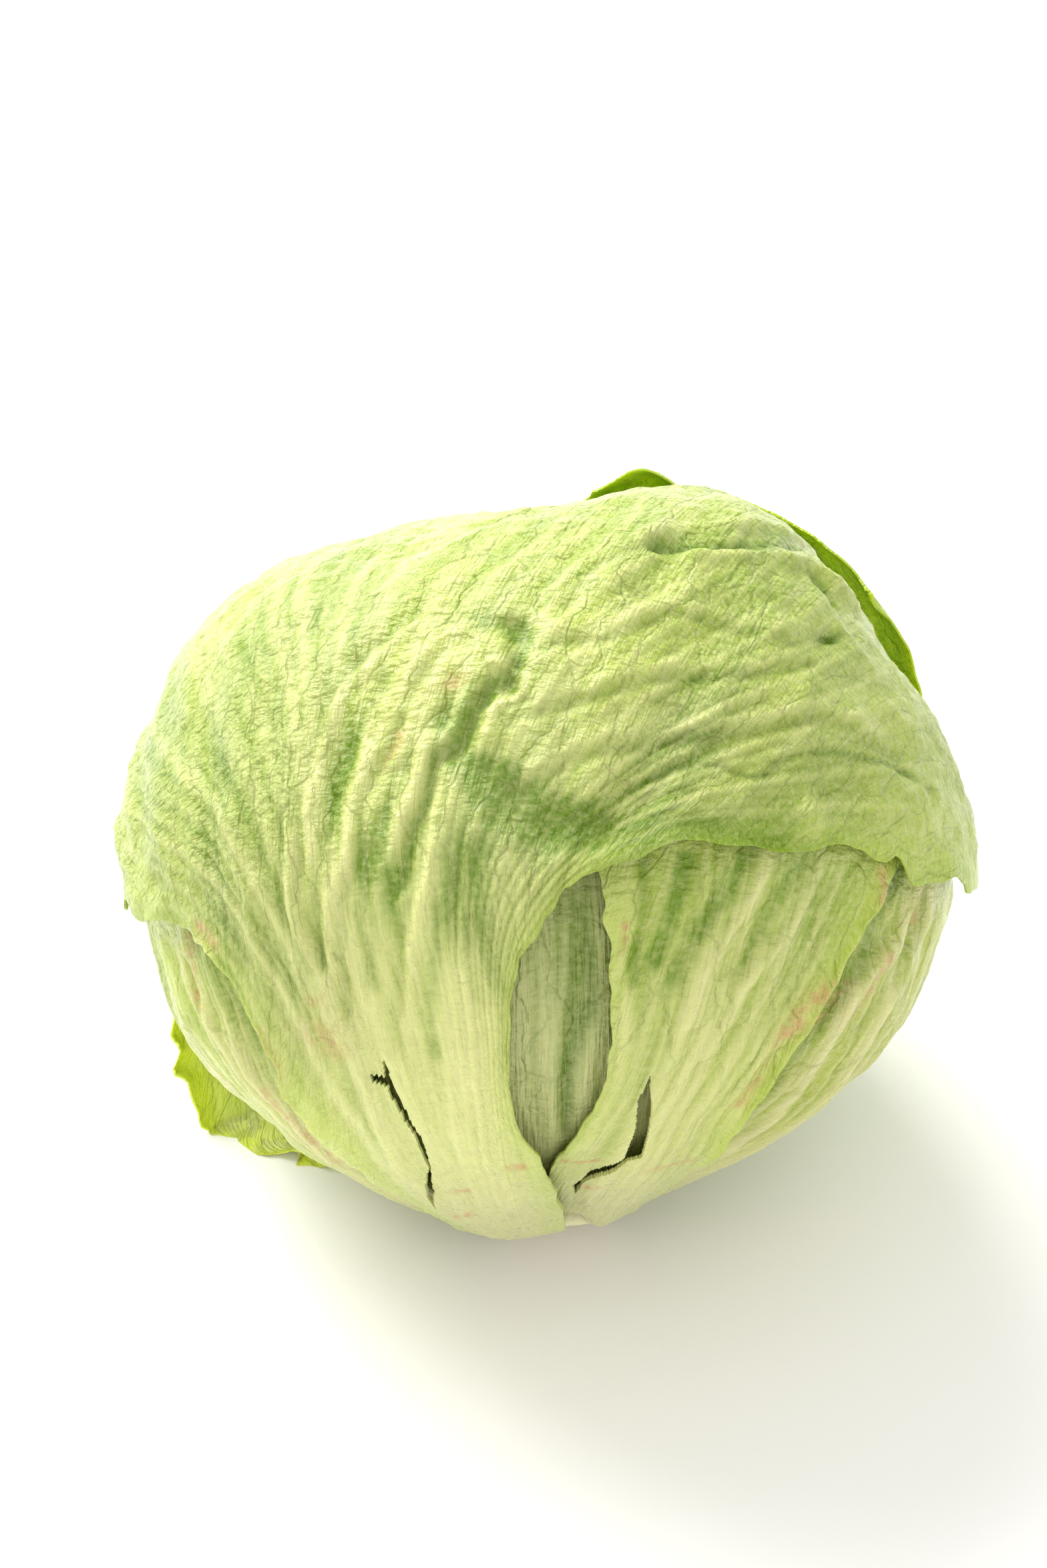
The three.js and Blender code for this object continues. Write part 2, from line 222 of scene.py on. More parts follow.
@dataclass
class HeadForm:
    """The shape that the head's leaves share: its profile, its foot and how the leaves stack up."""

    stem_tilt: float = 34.0
    centre: tuple[float, float, float] = (1.26, -1.5, 68.5)
    blade: float = 0.9
    rib: float = 2.1
    rib_reach: float = 20.0
    gap: float = 1.15
    cover_reach: float = 5.0
    cover_fall: float = 20.0
    cover_full: float = 60.0
    cover_samples: int = 25
    foot_blend: float = 2.0
    left: list[tuple[float, float]] = field(default_factory=lambda: [
        (0, 76), (20, 75.5), (35, 75), (50, 78), (65, 81.5), (80, 83.5), (95, 85.5), (110, 83.5),
        (125, 82.5), (136, 79), (149, 72.5), (165, 69), (180, 69)])
    right: list[tuple[float, float]] = field(default_factory=lambda: [
        (0, 76), (10, 73), (22, 69.5), (36, 69.5), (50, 71.5), (65, 75.5), (80, 79), (92, 81),
        (105, 79.5), (118, 78), (132, 78.5), (147, 80.5), (156, 79.5), (167, 75), (180, 69)])
    covers: list[Array] = field(default_factory=list)
    fine_covers: list[Array] = field(default_factory=list)

    def __post_init__(self) -> None:
        """Set up the head's own three directions."""
        tilt = math.radians(self.stem_tilt)
        self.stem_way = np.array([0.0, -math.sin(tilt), -math.cos(tilt)])
        self.front_way = np.array([0.0, -math.cos(tilt), math.sin(tilt)])
        self.right_way = np.array([1.0, 0.0, 0.0])

    def direction(self, polar: Array | float, azimuth: Array | float) -> Array:
        """Turn a place on the head into a direction from its centre."""
        p = np.radians(np.asarray(polar, float))[..., None]
        a = np.radians(np.asarray(azimuth, float))[..., None]
        return (np.cos(p) * self.stem_way + np.sin(p) * np.cos(a) * self.front_way
                + np.sin(p) * np.sin(a) * self.right_way)

    def places(self, d: Array) -> tuple[Array, Array]:
        """Turn directions into polar angles and azimuths, in degrees."""
        polar = np.degrees(np.arccos(np.clip(d @ self.stem_way, -1.0, 1.0)))
        azimuth = np.degrees(np.arctan2(d @ self.right_way, d @ self.front_way))
        return polar, azimuth

    def spread(self, net: Net, across: Array, along: Array) -> Array:
        """Directions over a leaf's net.

        Args:
            net: the leaf's guide veins.
            across: places from the left edge to the right, 0 to 1.
            along: places from the base outwards, 0 to 1.

        Returns:
            Unit vectors, one for each pair of places.
        """
        guides = np.array([[self.direction(*place) for place in vein] for vein in net.veins])
        a = spline_weights(guides.shape[0], across)
        b = spline_weights(guides.shape[1], along)
        d = np.einsum("ik,klc,jl->ijc", a, guides, b)
        return d / np.linalg.norm(d, axis=-1, keepdims=True)

    def wrap(self, net: Net) -> None:
        """Add a leaf outside those that the head has."""
        steps = np.linspace(0.0, 1.0, self.cover_samples)
        self.covers.append(self.spread(net, steps, steps).reshape(-1, 3))
        fine = np.linspace(0.0, 1.0, 3 * self.cover_samples)
        self.fine_covers.append(self.spread(net, fine, fine).reshape(-1, 3))

    def near_stem(self, polar: Array) -> Array:
        """1 at the leaves' bases, falling to 0 where their thick ribs end."""
        return bell((polar - LEAF_BASE) / self.rib_reach)

    def thickness(self, polar: Array) -> Array:
        """The room that a leaf takes up."""
        return self.blade + (self.rib - self.blade) * self.near_stem(polar)

    def cover(self, layer: int, d: Array, polar: Array) -> Array:
        """1 where a leaf lies, falling to 0 past its edge."""
        nearest = np.max(d @ self.covers[layer].T, axis=1)
        angle = np.degrees(np.arccos(np.clip(nearest, -1.0, 1.0)))
        full = math.radians(self.cover_full)
        girth = np.sin(np.minimum(np.radians(polar), full)) / math.sin(full)
        scale = np.maximum(girth, math.sin(math.radians(LEAF_BASE)))
        return smooth((self.cover_reach + self.cover_fall - angle / scale) / self.cover_fall)

    def hidden(self, layer: int, d: Array) -> Array:
        """1 where leaves outside the given one lie, 0 a little way past their edges."""
        over = np.zeros(len(d))
        for leaf in self.fine_covers[layer + 1:]:
            angle = np.degrees(np.arccos(np.clip(np.max(d @ leaf.T, axis=1), -1.0, 1.0)))
            over = np.maximum(over, smooth((4.5 - angle) / 3.0))
        return over

    def outermost(self, d: Array, polar: Array) -> Array:
        """The head's outer radius, flattened where it rests."""
        sideways = np.hypot(d @ self.front_way, d @ self.right_way)
        rightness = 0.5 * (1 + (d @ self.right_way) / np.maximum(sideways, 1e-9))
        round_one = profile(self.left, polar) * (1 - rightness) + profile(self.right, polar) * rightness
        flat = self.centre[2] / np.maximum(-d[:, 2], 0.2)
        h = np.clip(0.5 + 0.5 * (flat - round_one) / self.foot_blend, 0.0, 1.0)
        blended = flat * (1 - h) + round_one * h - self.foot_blend * h * (1 - h)
        return np.where(d[:, 2] > -0.2, round_one, blended)

    def heights(self, layer: int, d: Array) -> tuple[Array, Array]:
        """How far from the centre a leaf's inner and outer sides lie.

        Args:
            layer: the leaf's number, from the innermost.
            d: directions, one to a row.

        Returns:
            The inner and the outer radius in each direction.
        """
        polar, _ = self.places(d)
        thick = self.thickness(polar)
        shares = [self.cover(k, d, polar) * (thick + self.gap) for k in range(len(self.covers))]
        heart = self.outermost(d, polar) - sum(shares)
        inner = heart + self.gap + sum(shares[:layer], np.zeros(len(d)))
        return inner, inner + thick


# ---- Finishes ----

class Slot(Enum):
    """The record's material slots."""

    HEART = "heart_leaf"
    STEM = "stem_flesh"
    INNER = "inner_leaf"
    OUTER = "outer_leaf"
    GREEN = "green_leaf"


def tone(red: int, green: int, blue: int) -> Colour:
    """A colour as paint charts give it, 0 to 255, turned into light."""
    def light(c: int) -> float:
        """One channel."""
        s = c / 255
        return s / 12.92 if s <= 0.04045 else ((s + 0.055) / 1.055) ** 2.4
    return (light(red), light(green), light(blue), 1.0)


class Painter:
    """Builds one material's nodes, one line for each."""

    def __init__(self, name: str) -> None:
        """Start an empty material."""
        self.material = bpy.data.materials.new(name)
        self.material.use_nodes = True
        self.tree = self.material.node_tree
        self.tree.nodes.clear()
        self.shader = self.tree.nodes.new("ShaderNodeBsdfPrincipled")
        output = self.tree.nodes.new("ShaderNodeOutputMaterial")
        self.tree.links.new(self.shader.outputs["BSDF"], output.inputs["Surface"])

    def link(self, source: Socket, target: Socket) -> None:
        """Join two sockets."""
        self.tree.links.new(source, target)

    def attribute(self, name: str) -> Socket:
        """Read one of the piece's own values."""
        node = self.tree.nodes.new("ShaderNodeAttribute")
        node.attribute_name = name
        return node.outputs["Fac"]

    def grain(self, scale: float, detail: float, stretch: tuple[float, float, float] = (1, 1, 1),
              own: str = "leaf_place") -> Socket:
        """Random grain over the piece.

        Args:
            scale: how many grains to a unit.
            detail: how many finer layers.
            stretch: how much denser the grain is along each axis.
            own: the attribute that holds the piece's own places, or "object" for its plain ones.

        Returns:
            The grain's value, 0 to 1.
        """
        if own == "object":
            place = self.tree.nodes.new("ShaderNodeTexCoord").outputs["Object"]
        else:
            node = self.tree.nodes.new("ShaderNodeAttribute")
            node.attribute_name = own
            place = node.outputs["Vector"]
        mapping = self.tree.nodes.new("ShaderNodeMapping")
        mapping.inputs["Scale"].default_value = stretch
        noise = self.tree.nodes.new("ShaderNodeTexNoise")
        noise.inputs["Scale"].default_value = scale
        noise.inputs["Detail"].default_value = detail
        self.link(place, mapping.inputs["Vector"])
        self.link(mapping.outputs["Vector"], noise.inputs["Vector"])
        return noise.outputs["Fac"]

    def cells(self, scale: float, stretch: tuple[float, float, float], crook: float) -> Socket:
        """Distance to the edges of the small cells between a leaf's finest veins.

        Args:
            scale: how many cells to a unit.
            stretch: how much denser the cells are along each axis.
            crook: how far the edges wander.

        Returns:
            The distance, 0 on an edge.
        """
        node = self.tree.nodes.new("ShaderNodeAttribute")
        node.attribute_name = "leaf_place"
        warp = self.tree.nodes.new("ShaderNodeTexNoise")
        warp.inputs["Scale"].default_value = 0.12
        warp.inputs["Detail"].default_value = 3.0
        push = self.tree.nodes.new("ShaderNodeVectorMath")
        push.operation = "MULTIPLY_ADD"
        push.inputs[1].default_value = (crook, crook, 0.0)
        mapping = self.tree.nodes.new("ShaderNodeMapping")
        mapping.inputs["Scale"].default_value = stretch
        voronoi = self.tree.nodes.new("ShaderNodeTexVoronoi")
        voronoi.feature = "DISTANCE_TO_EDGE"
        voronoi.inputs["Scale"].default_value = scale
        self.link(node.outputs["Vector"], warp.inputs["Vector"])
        self.link(warp.outputs["Color"], push.inputs[0])
        self.link(node.outputs["Vector"], push.inputs[2])
        self.link(push.outputs["Vector"], mapping.inputs["Vector"])
        self.link(mapping.outputs["Vector"], voronoi.inputs["Vector"])
        return voronoi.outputs["Distance"]

    def ramp(self, value: Socket, low: float, high: float, bottom: float = 0.0,
             top: float = 1.0) -> Socket:
        """Stretch a value from low..high to bottom..top, held at both ends."""
        node = self.tree.nodes.new("ShaderNodeMapRange")
        for name, number in (("From Min", low), ("From Max", high), ("To Min", bottom), ("To Max", top)):
            node.inputs[name].default_value = number
        self.link(value, node.inputs["Value"])
        return node.outputs["Result"]

    def join(self, kind: str, a: Socket, b: Socket | float) -> Socket:
        """Add, multiply or otherwise join two values."""
        node = self.tree.nodes.new("ShaderNodeMath")
        node.operation = kind
        self.link(a, node.inputs[0])
        if isinstance(b, float):
            node.inputs[1].default_value = b
        else:
            self.link(b, node.inputs[1])
        return node.outputs["Value"]

    def mix(self, share: Socket, a: Socket | tuple,
            b: Socket | tuple) -> Socket:
        """Mix two colours, a where share is 0 and b where it is 1."""
        node = self.tree.nodes.new("ShaderNodeMix")
        node.data_type = "RGBA"
        self.link(share, node.inputs["Factor"])
        for name, colour in (("A", a), ("B", b)):
            socket = next(s for s in node.inputs if s.name == name and s.type == "RGBA")
            if isinstance(colour, tuple):
                socket.default_value = colour
            else:
                self.link(colour, socket)
        return next(s for s in node.outputs if s.type == "RGBA")

    def bump(self, height: Socket, distance: float) -> None:
        """Add fine relief, distance metres deep."""
        node = self.tree.nodes.new("ShaderNodeBump")
        node.inputs["Strength"].default_value = 1.0
        node.inputs["Distance"].default_value = distance
        self.link(height, node.inputs["Height"])
        self.link(node.outputs["Normal"], self.shader.inputs["Normal"])


@dataclass(frozen=True)
class LeafFinish:
    """A waxy, moist leaf: pale ribs, green blade, bright margin and a few rust marks, with painted shade in
    its hollows and grooves and a painted highlight along fold crests.
    """

    name: str
    blade: Colour = tone(174, 192, 78)
    # Deep green: the blade's own darker tone between the ribs, also used as the painted shade in hollows,
    # dents and grooves.
    deep: Colour = tone(112, 144, 14)
    rib: Colour = tone(212, 214, 140)
    base: Colour = tone(200, 199, 144)
    margin: Colour = tone(168, 198, 40)
    rust: Colour = tone(198, 142, 98)
    roughness: float = 0.33
    glow: float = 0.3
    veining: float = 0.22

    def make(self) -> bpy.types.Material:
        """Build the material."""
        p = Painter(self.name)
        cloud = p.ramp(p.grain(0.045, 2.0, (1.0, 0.4, 1.0)), 0.3, 0.7, -0.18, 0.18)
        # Deep green where the blade is sunk: partly its own deeper tone, partly painted shade, with the
        # painted shade of dents and folds in it.
        hollow = p.ramp(p.join("ADD", p.attribute("hollow"), cloud), 0.0, 0.85)
        green = p.mix(hollow, self.blade, self.deep)
        fine = p.ramp(p.grain(0.7, 4.0, (0.9, 1.1, 1.0)), 0.42, 0.7, 0.0, 0.35)
        green = p.mix(fine, green, self.rib)
        streak = p.ramp(p.grain(0.5, 3.0, (1.3, 0.08, 1.0)), 0.3, 0.7, -0.2, 0.2)
        # The rib mix also carries the paler fold crests, part painted highlight, and is cut back where shade
        # is painted.
        ribbed = p.ramp(p.join("ADD", p.attribute("rib"), streak), 0.1, 1.0)
        colour = p.mix(ribbed, green, self.rib)
        net = p.join("MULTIPLY", p.ramp(self.net(p), 0.0, 0.025, self.veining, 0.0), p.attribute("netted"))
        colour = p.mix(net, colour, self.deep)
        # The pale base is cut back where shade is painted.
        pale = p.ramp(p.join("ADD", p.attribute("pale"), p.join("MULTIPLY", cloud, 0.6)), 0.0, 1.0, 0.0, 0.9)
        colour = p.mix(pale, colour, self.base)
        colour = p.mix(p.attribute("margin"), colour, self.margin)
        speck = p.ramp(p.grain(0.45, 5.0), 0.34, 0.62, 0.0, 0.8)
        colour = p.mix(p.join("MULTIPLY", p.attribute("rust"), speck), colour, self.rust)
        p.link(colour, p.shader.inputs["Base Color"])
        p.link(p.ramp(p.grain(0.6, 3.0), 0.3, 0.7, self.roughness - 0.1, self.roughness + 0.12),
               p.shader.inputs["Roughness"])
        self.relief(p)
        p.shader.inputs["Subsurface Weight"].default_value = self.glow
        p.shader.inputs["Subsurface Radius"].default_value = (0.8, 1.0, 0.2)
        p.shader.inputs["Subsurface Scale"].default_value = 0.003
        p.shader.inputs["IOR"].default_value = 1.42
        p.shader.inputs["Coat Weight"].default_value = 0.12
        p.shader.inputs["Coat Roughness"].default_value = 0.16
        return p.material

    @staticmethod
    def net(p: Painter) -> Socket:
        """Distance to the finest veins, which run crookedly along the leaf."""
        return p.cells(0.12, (1.0, 0.4, 1.0), 9.0)

    def relief(self, p: Painter) -> None:
        """Fine puckers across the ribs and a net of the smallest veins."""
        pucker = p.grain(0.5, 3.0, (0.8, 1.5, 1.0))
        streak = p.grain(1.0, 2.0, (1.5, 0.1, 1.0))
        net = p.join("MULTIPLY", p.ramp(self.net(p), 0.0, 0.05, -0.2, 0.0), p.attribute("netted"))
        height = p.join("ADD", p.join("MULTIPLY", pucker, p.attribute("crinkle")),
                       p.join("MULTIPLY", streak, 0.4))
        p.bump(p.join("ADD", height, net), 0.0016)


@dataclass(frozen=True)
class FleshFinish:
    """Cut stem: cream flesh, browned where the air has dried it."""

    name: str
    flesh: Colour = tone(222, 218, 176)
    dried: Colour = tone(176, 128, 78)
    browning: float = 0.5

    def make(self) -> bpy.types.Material:
        """Build the material."""
        p = Painter(self.name)
        patch = p.ramp(p.grain(160.0, 5.0, own="object"), 0.45, 0.7, 0.0, self.browning)
        p.link(p.mix(patch, self.flesh, self.dried), p.shader.inputs["Base Color"])
        fibres = p.grain(900.0, 3.0, (1.0, 1.0, 0.2), own="object")
        p.link(p.ramp(fibres, 0.3, 0.7, 0.5, 0.75), p.shader.inputs["Roughness"])
        p.bump(fibres, 0.0004)
        p.shader.inputs["Subsurface Weight"].default_value = 0.2
        p.shader.inputs["Subsurface Radius"].default_value = (1.0, 0.9, 0.5)
        p.shader.inputs["Subsurface Scale"].default_value = 0.002
        return p.material


@dataclass(frozen=True)
class HeartFinish:
    """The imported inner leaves, seen only in the gaps between the outer ones."""

    name: str
    light: Colour = tone(150, 178, 80)
    shade: Colour = tone(92, 122, 38)

    def make(self) -> bpy.types.Material:
        """Build the material."""
        p = Painter(self.name)
        ribs = p.grain(60.0, 4.0, (2.0, 2.0, 0.5), own="object")
        p.link(p.mix(p.ramp(ribs, 0.35, 0.65), self.shade, self.light), p.shader.inputs["Base Color"])
        p.bump(ribs, 0.0015)
        p.shader.inputs["Roughness"].default_value = 0.45
        return p.material


# ---- Meshes ----

def link_mesh(name: str, vertices: Array, faces: Array, material: bpy.types.Material) -> bpy.types.Object:
    """Make a smooth mesh object.

    Args:
        name: the piece's name.
        vertices: places in metres, one to a row.
        faces: four vertex numbers to a row.
        material: its finish.

    Returns:
        The object, linked to the scene.
    """
    mesh = bpy.data.meshes.new(name)
    mesh.from_pydata(vertices.tolist(), [], faces.tolist())
    mesh.materials.append(material)
    mesh.polygons.foreach_set("use_smooth", np.ones(len(mesh.polygons), bool))
    mesh.update()
    piece = bpy.data.objects.new(name, mesh)
    bpy.context.scene.collection.objects.link(piece)
    return piece


def set_values(mesh: bpy.types.Mesh, name: str, values: Array) -> None:
    """Store one number, or three, for each vertex."""
    kind = "FLOAT_VECTOR" if values.ndim == 2 else "FLOAT"
    target = "vector" if values.ndim == 2 else "value"
    mesh.attributes.new(name, kind, "POINT").data.foreach_set(target, values.astype(np.float32).ravel())


def shell_faces(kept: Array) -> Array:
    """Faces of two skins over one grid, joined along every open edge.

    Args:
        kept: which cells of the grid are there, by column and row.

    Returns:
        Four vertex numbers to a row; the inner skin's vertices follow the outer skin's.
    """
    columns, rows = kept.shape[0] + 1, kept.shape[1] + 1
    skin = columns * rows
    number = np.arange(skin).reshape(columns, rows)
    corners = np.stack([number[:-1, :-1], number[1:, :-1], number[1:, 1:], number[:-1, 1:]], -1)[kept]
    starts = corners.ravel()
    ends = np.roll(corners, -1, axis=1).ravel()
    forward, backward = starts * skin + ends, ends * skin + starts
    open_edge = ~np.isin(forward, backward)
    a, b = starts[open_edge], ends[open_edge]
    walls = np.stack([b, a, a + skin, b + skin], 1)
    return np.concatenate([corners, corners[:, ::-1] + skin, walls])


def without_spare(vertices: Array, faces: Array) -> tuple[Array, Array, Array]:
    """Drop the vertices that no face uses; also returns which were kept."""
    used = np.unique(faces)
    renumber = np.full(len(vertices), -1)
    renumber[used] = np.arange(len(used))
    return vertices[used], renumber[faces], used


# ---- Leaves ----

@dataclass(frozen=True)
class Vein:
    """One raised vein over a leaf: where it starts and how it drifts across."""

    origin: float
    reach: float
    start: float
    bend: float
    height: float
    breadth: float
    wander: float
    seed: int

    def across(self, along: Array) -> Array:
        """Where the vein runs at each place along the leaf."""
        drift = smooth((along - self.start) / self.bend)
        sway = Grain(self.seed).at(along * 5.0, along * 0.0 + self.origin * 40.0)
        return self.origin + (self.reach - self.origin) * drift + self.wander * sway * smooth(along * 4)


@dataclass(frozen=True)
class Dent:
    """A hollow, or a bump if its depth is negative, at a place on the head; its shade is painted shade in the
    hollow, and painted light on a bump.
    """

    at: Place
    size: Place
    depth: float
    turn: float = 0.0
    # painted shade in a hollow; on a bump (negative depth) it paints light
    shade: float = 0.6


@dataclass(frozen=True)
class Fold:
    """A fold along a path over the head, raised or sunk, with a groove beside it if it has one; its crest is
    painted paler, part rib colour and part painted highlight, and shade along the crest and in the groove is
    painted shade.
    """

    path: Path
    rise: float
    breadth: float
    groove: float = 0.0
    side: float = 1.0
    # paler crest: part rib colour, part painted highlight
    pale: float = 0.5
    # painted shade along the crest
    shade: float = 0.0


@dataclass(frozen=True)
class Stain:
    """A rust mark along a path over the head."""

    path: Path
    breadth: float
    strength: float = 1.0


@dataclass(frozen=True)
class Frill:
    """How the edge of a leaf is ruffled and notched."""

    ruffle: float = 0.5
    wave: float = 14.0
    notch: float = 0.8
    depth: float = 10.0
    bright: float = 0.35
    ragged: float = 0.0
    sides: tuple[float, float, float] = (1.0, 1.0, 1.0)


@dataclass
class Leaf:
    """One leaf: its net, its lie on the head, its veins and its marks."""

    FOLD_GRAIN: ClassVar[int] = 60
    VEIN_CHANCE: ClassVar[int] = 100
    SWELL_GRAIN: ClassVar[int] = 300
    HOLLOW_GRAIN: ClassVar[int] = 500
    PUCKER_GRAIN: ClassVar[int] = 700
    RUFFLE_GRAIN: ClassVar[int] = 900
    NOTCH_GRAIN: ClassVar[int] = 1100
    FLOOR_CLEARANCE: ClassVar[float] = 0.3
    SHARP_EDGE: ClassVar[float] = 62.0

    node: str
    net: Net
    finish: LeafFinish
    slot: Slot
    cells: tuple[int, int]
    ribs: int = 12
    rib_height: float = 0.55
    puckers: float = 0.35
    swell: float = 0.6
    hollows: float = 0.5
    seed: int = 1
    lifts: tuple[Lift, ...] = ()
    tear: Path = ()
    dents: tuple[Dent, ...] = ()
    folds: tuple[Fold, ...] = ()
    stains: tuple[Stain, ...] = ()
    frill: Frill = Frill()
    pale_until: float = 38.0
    sheet: float = 0.45
    sink: float = 1.25
    coarse: tuple[int, int] = (53, 45)

    def build(self, form: HeadForm, layer: int) -> bpy.types.Object:
        """Make the leaf.

        Args:
            form: the head that it lies on.
            layer: its number, from the innermost.

        Returns:
            The finished piece.
        """
        across = np.linspace(0.0, 1.0, self.cells[0] + 1)
        along = np.linspace(0.0, 1.0, self.cells[1] + 1)
        d = form.spread(self.net, across, along)
        outer = self.upsampled(form, layer, across, along)
        u, v = np.meshgrid(across, along, indexing="ij")
        smooth_skin = d * outer[..., None]
        arc_u, arc_v, edge = self.arcs(smooth_skin)
        polar, azimuth = (g.reshape(u.shape) for g in form.places(d.reshape(-1, 3)))

        ridge, ribbing = self.veins_over(u, v, arc_u)
        relief, values = self.marks_over(form, d, polar, outer)
        swelling = self.swell_over(arc_u, arc_v, v, polar)
        hollow = self.hollow_over(arc_u, arc_v, v, ribbing, values["shade"])
        inset = smooth(edge / self.frill.depth)
        buried = self.buried_over(form, layer, across, along)
        ruffle = self.ruffle_over(u, v, arc_u, arc_v, edge)
        rise = ridge * (0.35 + 0.65 * inset) + relief + swelling * inset - 0.45 * hollow * inset
        pucker = self.pucker_over(arc_u, arc_v, ribbing) * (0.3 + 0.7 * inset)
        rise = rise + pucker
        rise = np.where(rise > 0, rise * (1 - 0.85 * buried), rise)
        rise = np.clip(rise, -self.sink, None) + ruffle * (1 - buried)

        skin = self.notched(d * (outer + rise)[..., None], u, v)
        way = d / np.linalg.norm(d, axis=-1, keepdims=True)
        sheet = self.sheet + (form.thickness(polar) - form.blade) * 0.9 + 0.25 * ridge
        centre = np.array(form.centre)
        top = skin + centre
        under = skin - way * sheet[..., None] + centre
        top[..., 2] = np.maximum(top[..., 2], 0.0)
        clear = self.FLOOR_CLEARANCE
        under[..., 2] = np.maximum(under[..., 2], clear)
        under = np.where(top[..., 2:] < clear, top + np.array([0.0, 0.0, clear]), under)
        kept = self.kept_cells(polar, azimuth)
        vertices = np.concatenate([top.reshape(-1, 3), under.reshape(-1, 3)]) * MILLIMETRE
        vertices, faces, used = without_spare(vertices, shell_faces(kept))
        piece = link_mesh(self.node, vertices, faces, self.finish.make())

        edge_share = 1 - smooth(edge / (self.frill.depth * 0.8))
        # Painted shade from the dents and folds dulls the ribs and the pale base.
        shaded = 1 - 0.75 * np.clip(values.pop("shade"), 0, 1)
        values["rib"] = np.clip(ribbing + values.pop("pale_crest_and_highlight"), 0, 1) * shaded
        # The deep-green share, painted shade of dents and folds included.
        values["hollow"] = np.clip(hollow, 0, 1)
        values["pale"] = (1 - smooth((polar - self.pale_until * 0.45) / self.pale_until)) * shaded
        values["margin"] = np.clip(edge_share * self.frill.bright, 0, 1)
        values["netted"] = smooth((v - 0.35) / 0.2) * (1 - values["pale"])
        values["crinkle"] = self.puckers * 2.2 * (1 - 0.6 * ribbing) * np.clip((polar - 15) / 45, 0.15, 1)
        for name, value in values.items():
            set_values(piece.data, name, np.tile(value.ravel(), 2)[used])
        place = np.stack([arc_u, arc_v, np.full_like(arc_u, 7.0 * self.seed)], -1).reshape(-1, 3)
        set_values(piece.data, "leaf_place", np.tile(place, (2, 1))[used])
        set_values(piece.data, "outward", np.tile(way.reshape(-1, 3), (2, 1))[used])
        piece = Crinkle(seed=self.seed, height=0.22 * self.puckers).over(piece)
        piece.data.set_sharp_from_angle(angle=math.radians(self.SHARP_EDGE))
        return piece

    def upsampled(self, form: HeadForm, layer: int, across: Array, along: Array) -> Array:
        """The leaf's smooth outer radius, worked out on a coarse grid and drawn out finely."""
        a, b = np.linspace(0, 1, self.coarse[0]), np.linspace(0, 1, self.coarse[1])
        d = form.spread(self.net, a, b)
        _, outer = form.heights(layer, d.reshape(-1, 3))
        u, v = np.meshgrid(a, b, indexing="ij")
        outer = outer.reshape(u.shape)
        for lift in self.lifts:
            place = bell((u - lift.at[0]) / lift.size[0]) * bell((v - lift.at[1]) / lift.size[1])
            outer = outer + lift.rise * place
        wide, high = spline_weights(len(a), across), spline_weights(len(b), along)
        return wide @ outer @ high.T

    def buried_over(self, form: HeadForm, layer: int, across: Array, along: Array) -> Array:
        """1 where other leaves lie over this one, 0 where it is in the open."""
        a, b = np.linspace(0, 1, self.coarse[0]), np.linspace(0, 1, self.coarse[1])
        d = form.spread(self.net, a, b).reshape(-1, 3)
        over = form.hidden(layer, d).reshape(len(a), len(b))
        shares = spline_weights(len(a), across) @ over @ spline_weights(len(b), along).T
        return np.clip(shares, 0.0, 1.0)

    @staticmethod
    def arcs(skin: Array) -> tuple[Array, Array, Array]:
        """Measure the leaf in millimetres.

        Args:
            skin: its places, by column and row.

        Returns:
            The way across from its middle, the way along from its base, and the way to its nearest edge.
        """
        step_u = np.linalg.norm(np.diff(skin, axis=0), axis=-1)
        step_v = np.linalg.norm(np.diff(skin, axis=1), axis=-1)
        from_left = np.concatenate([np.zeros((1, skin.shape[1])), np.cumsum(step_u, 0)])
        from_base = np.concatenate([np.zeros((skin.shape[0], 1)), np.cumsum(step_v, 1)], 1)
        width, length = from_left[-1:], from_base[:, -1:]
        edge = np.minimum(np.minimum(from_left, width - from_left), length - from_base)
        return from_left - width / 2, from_base, edge

    def veins(self) -> list[Vein]:
        """Lay out the leaf's main veins and their branches."""
        chance = np.random.default_rng(self.VEIN_CHANCE + self.seed)
        spacing = 1.0 / self.ribs
        veins = []
        for k in range(self.ribs):
            origin = (k + 0.5 + chance.uniform(-0.25, 0.25)) * spacing
            middle = bell((origin - 0.5) / 0.45)
            height = self.rib_height * (0.55 + 0.6 * middle) * chance.uniform(0.7, 1.2)
            veins.append(Vein(origin, origin + chance.uniform(-0.3, 0.3) * spacing, 0.0, 1.0, height,
                              1.5 + 0.5 * middle, 0.22 * spacing, 7 * k + self.seed))
            for branch in range(3):
                side = 1 if (branch + k) % 2 else -1
                start = chance.uniform(0.12, 0.28) + 0.2 * branch
                reach = origin + side * spacing * chance.uniform(0.3, 0.75)
                veins.append(Vein(origin, reach, start, chance.uniform(0.16, 0.34), height * 0.62, 0.85,
                                  0.15 * spacing, 7 * k + 31 * branch + self.seed))
        return veins

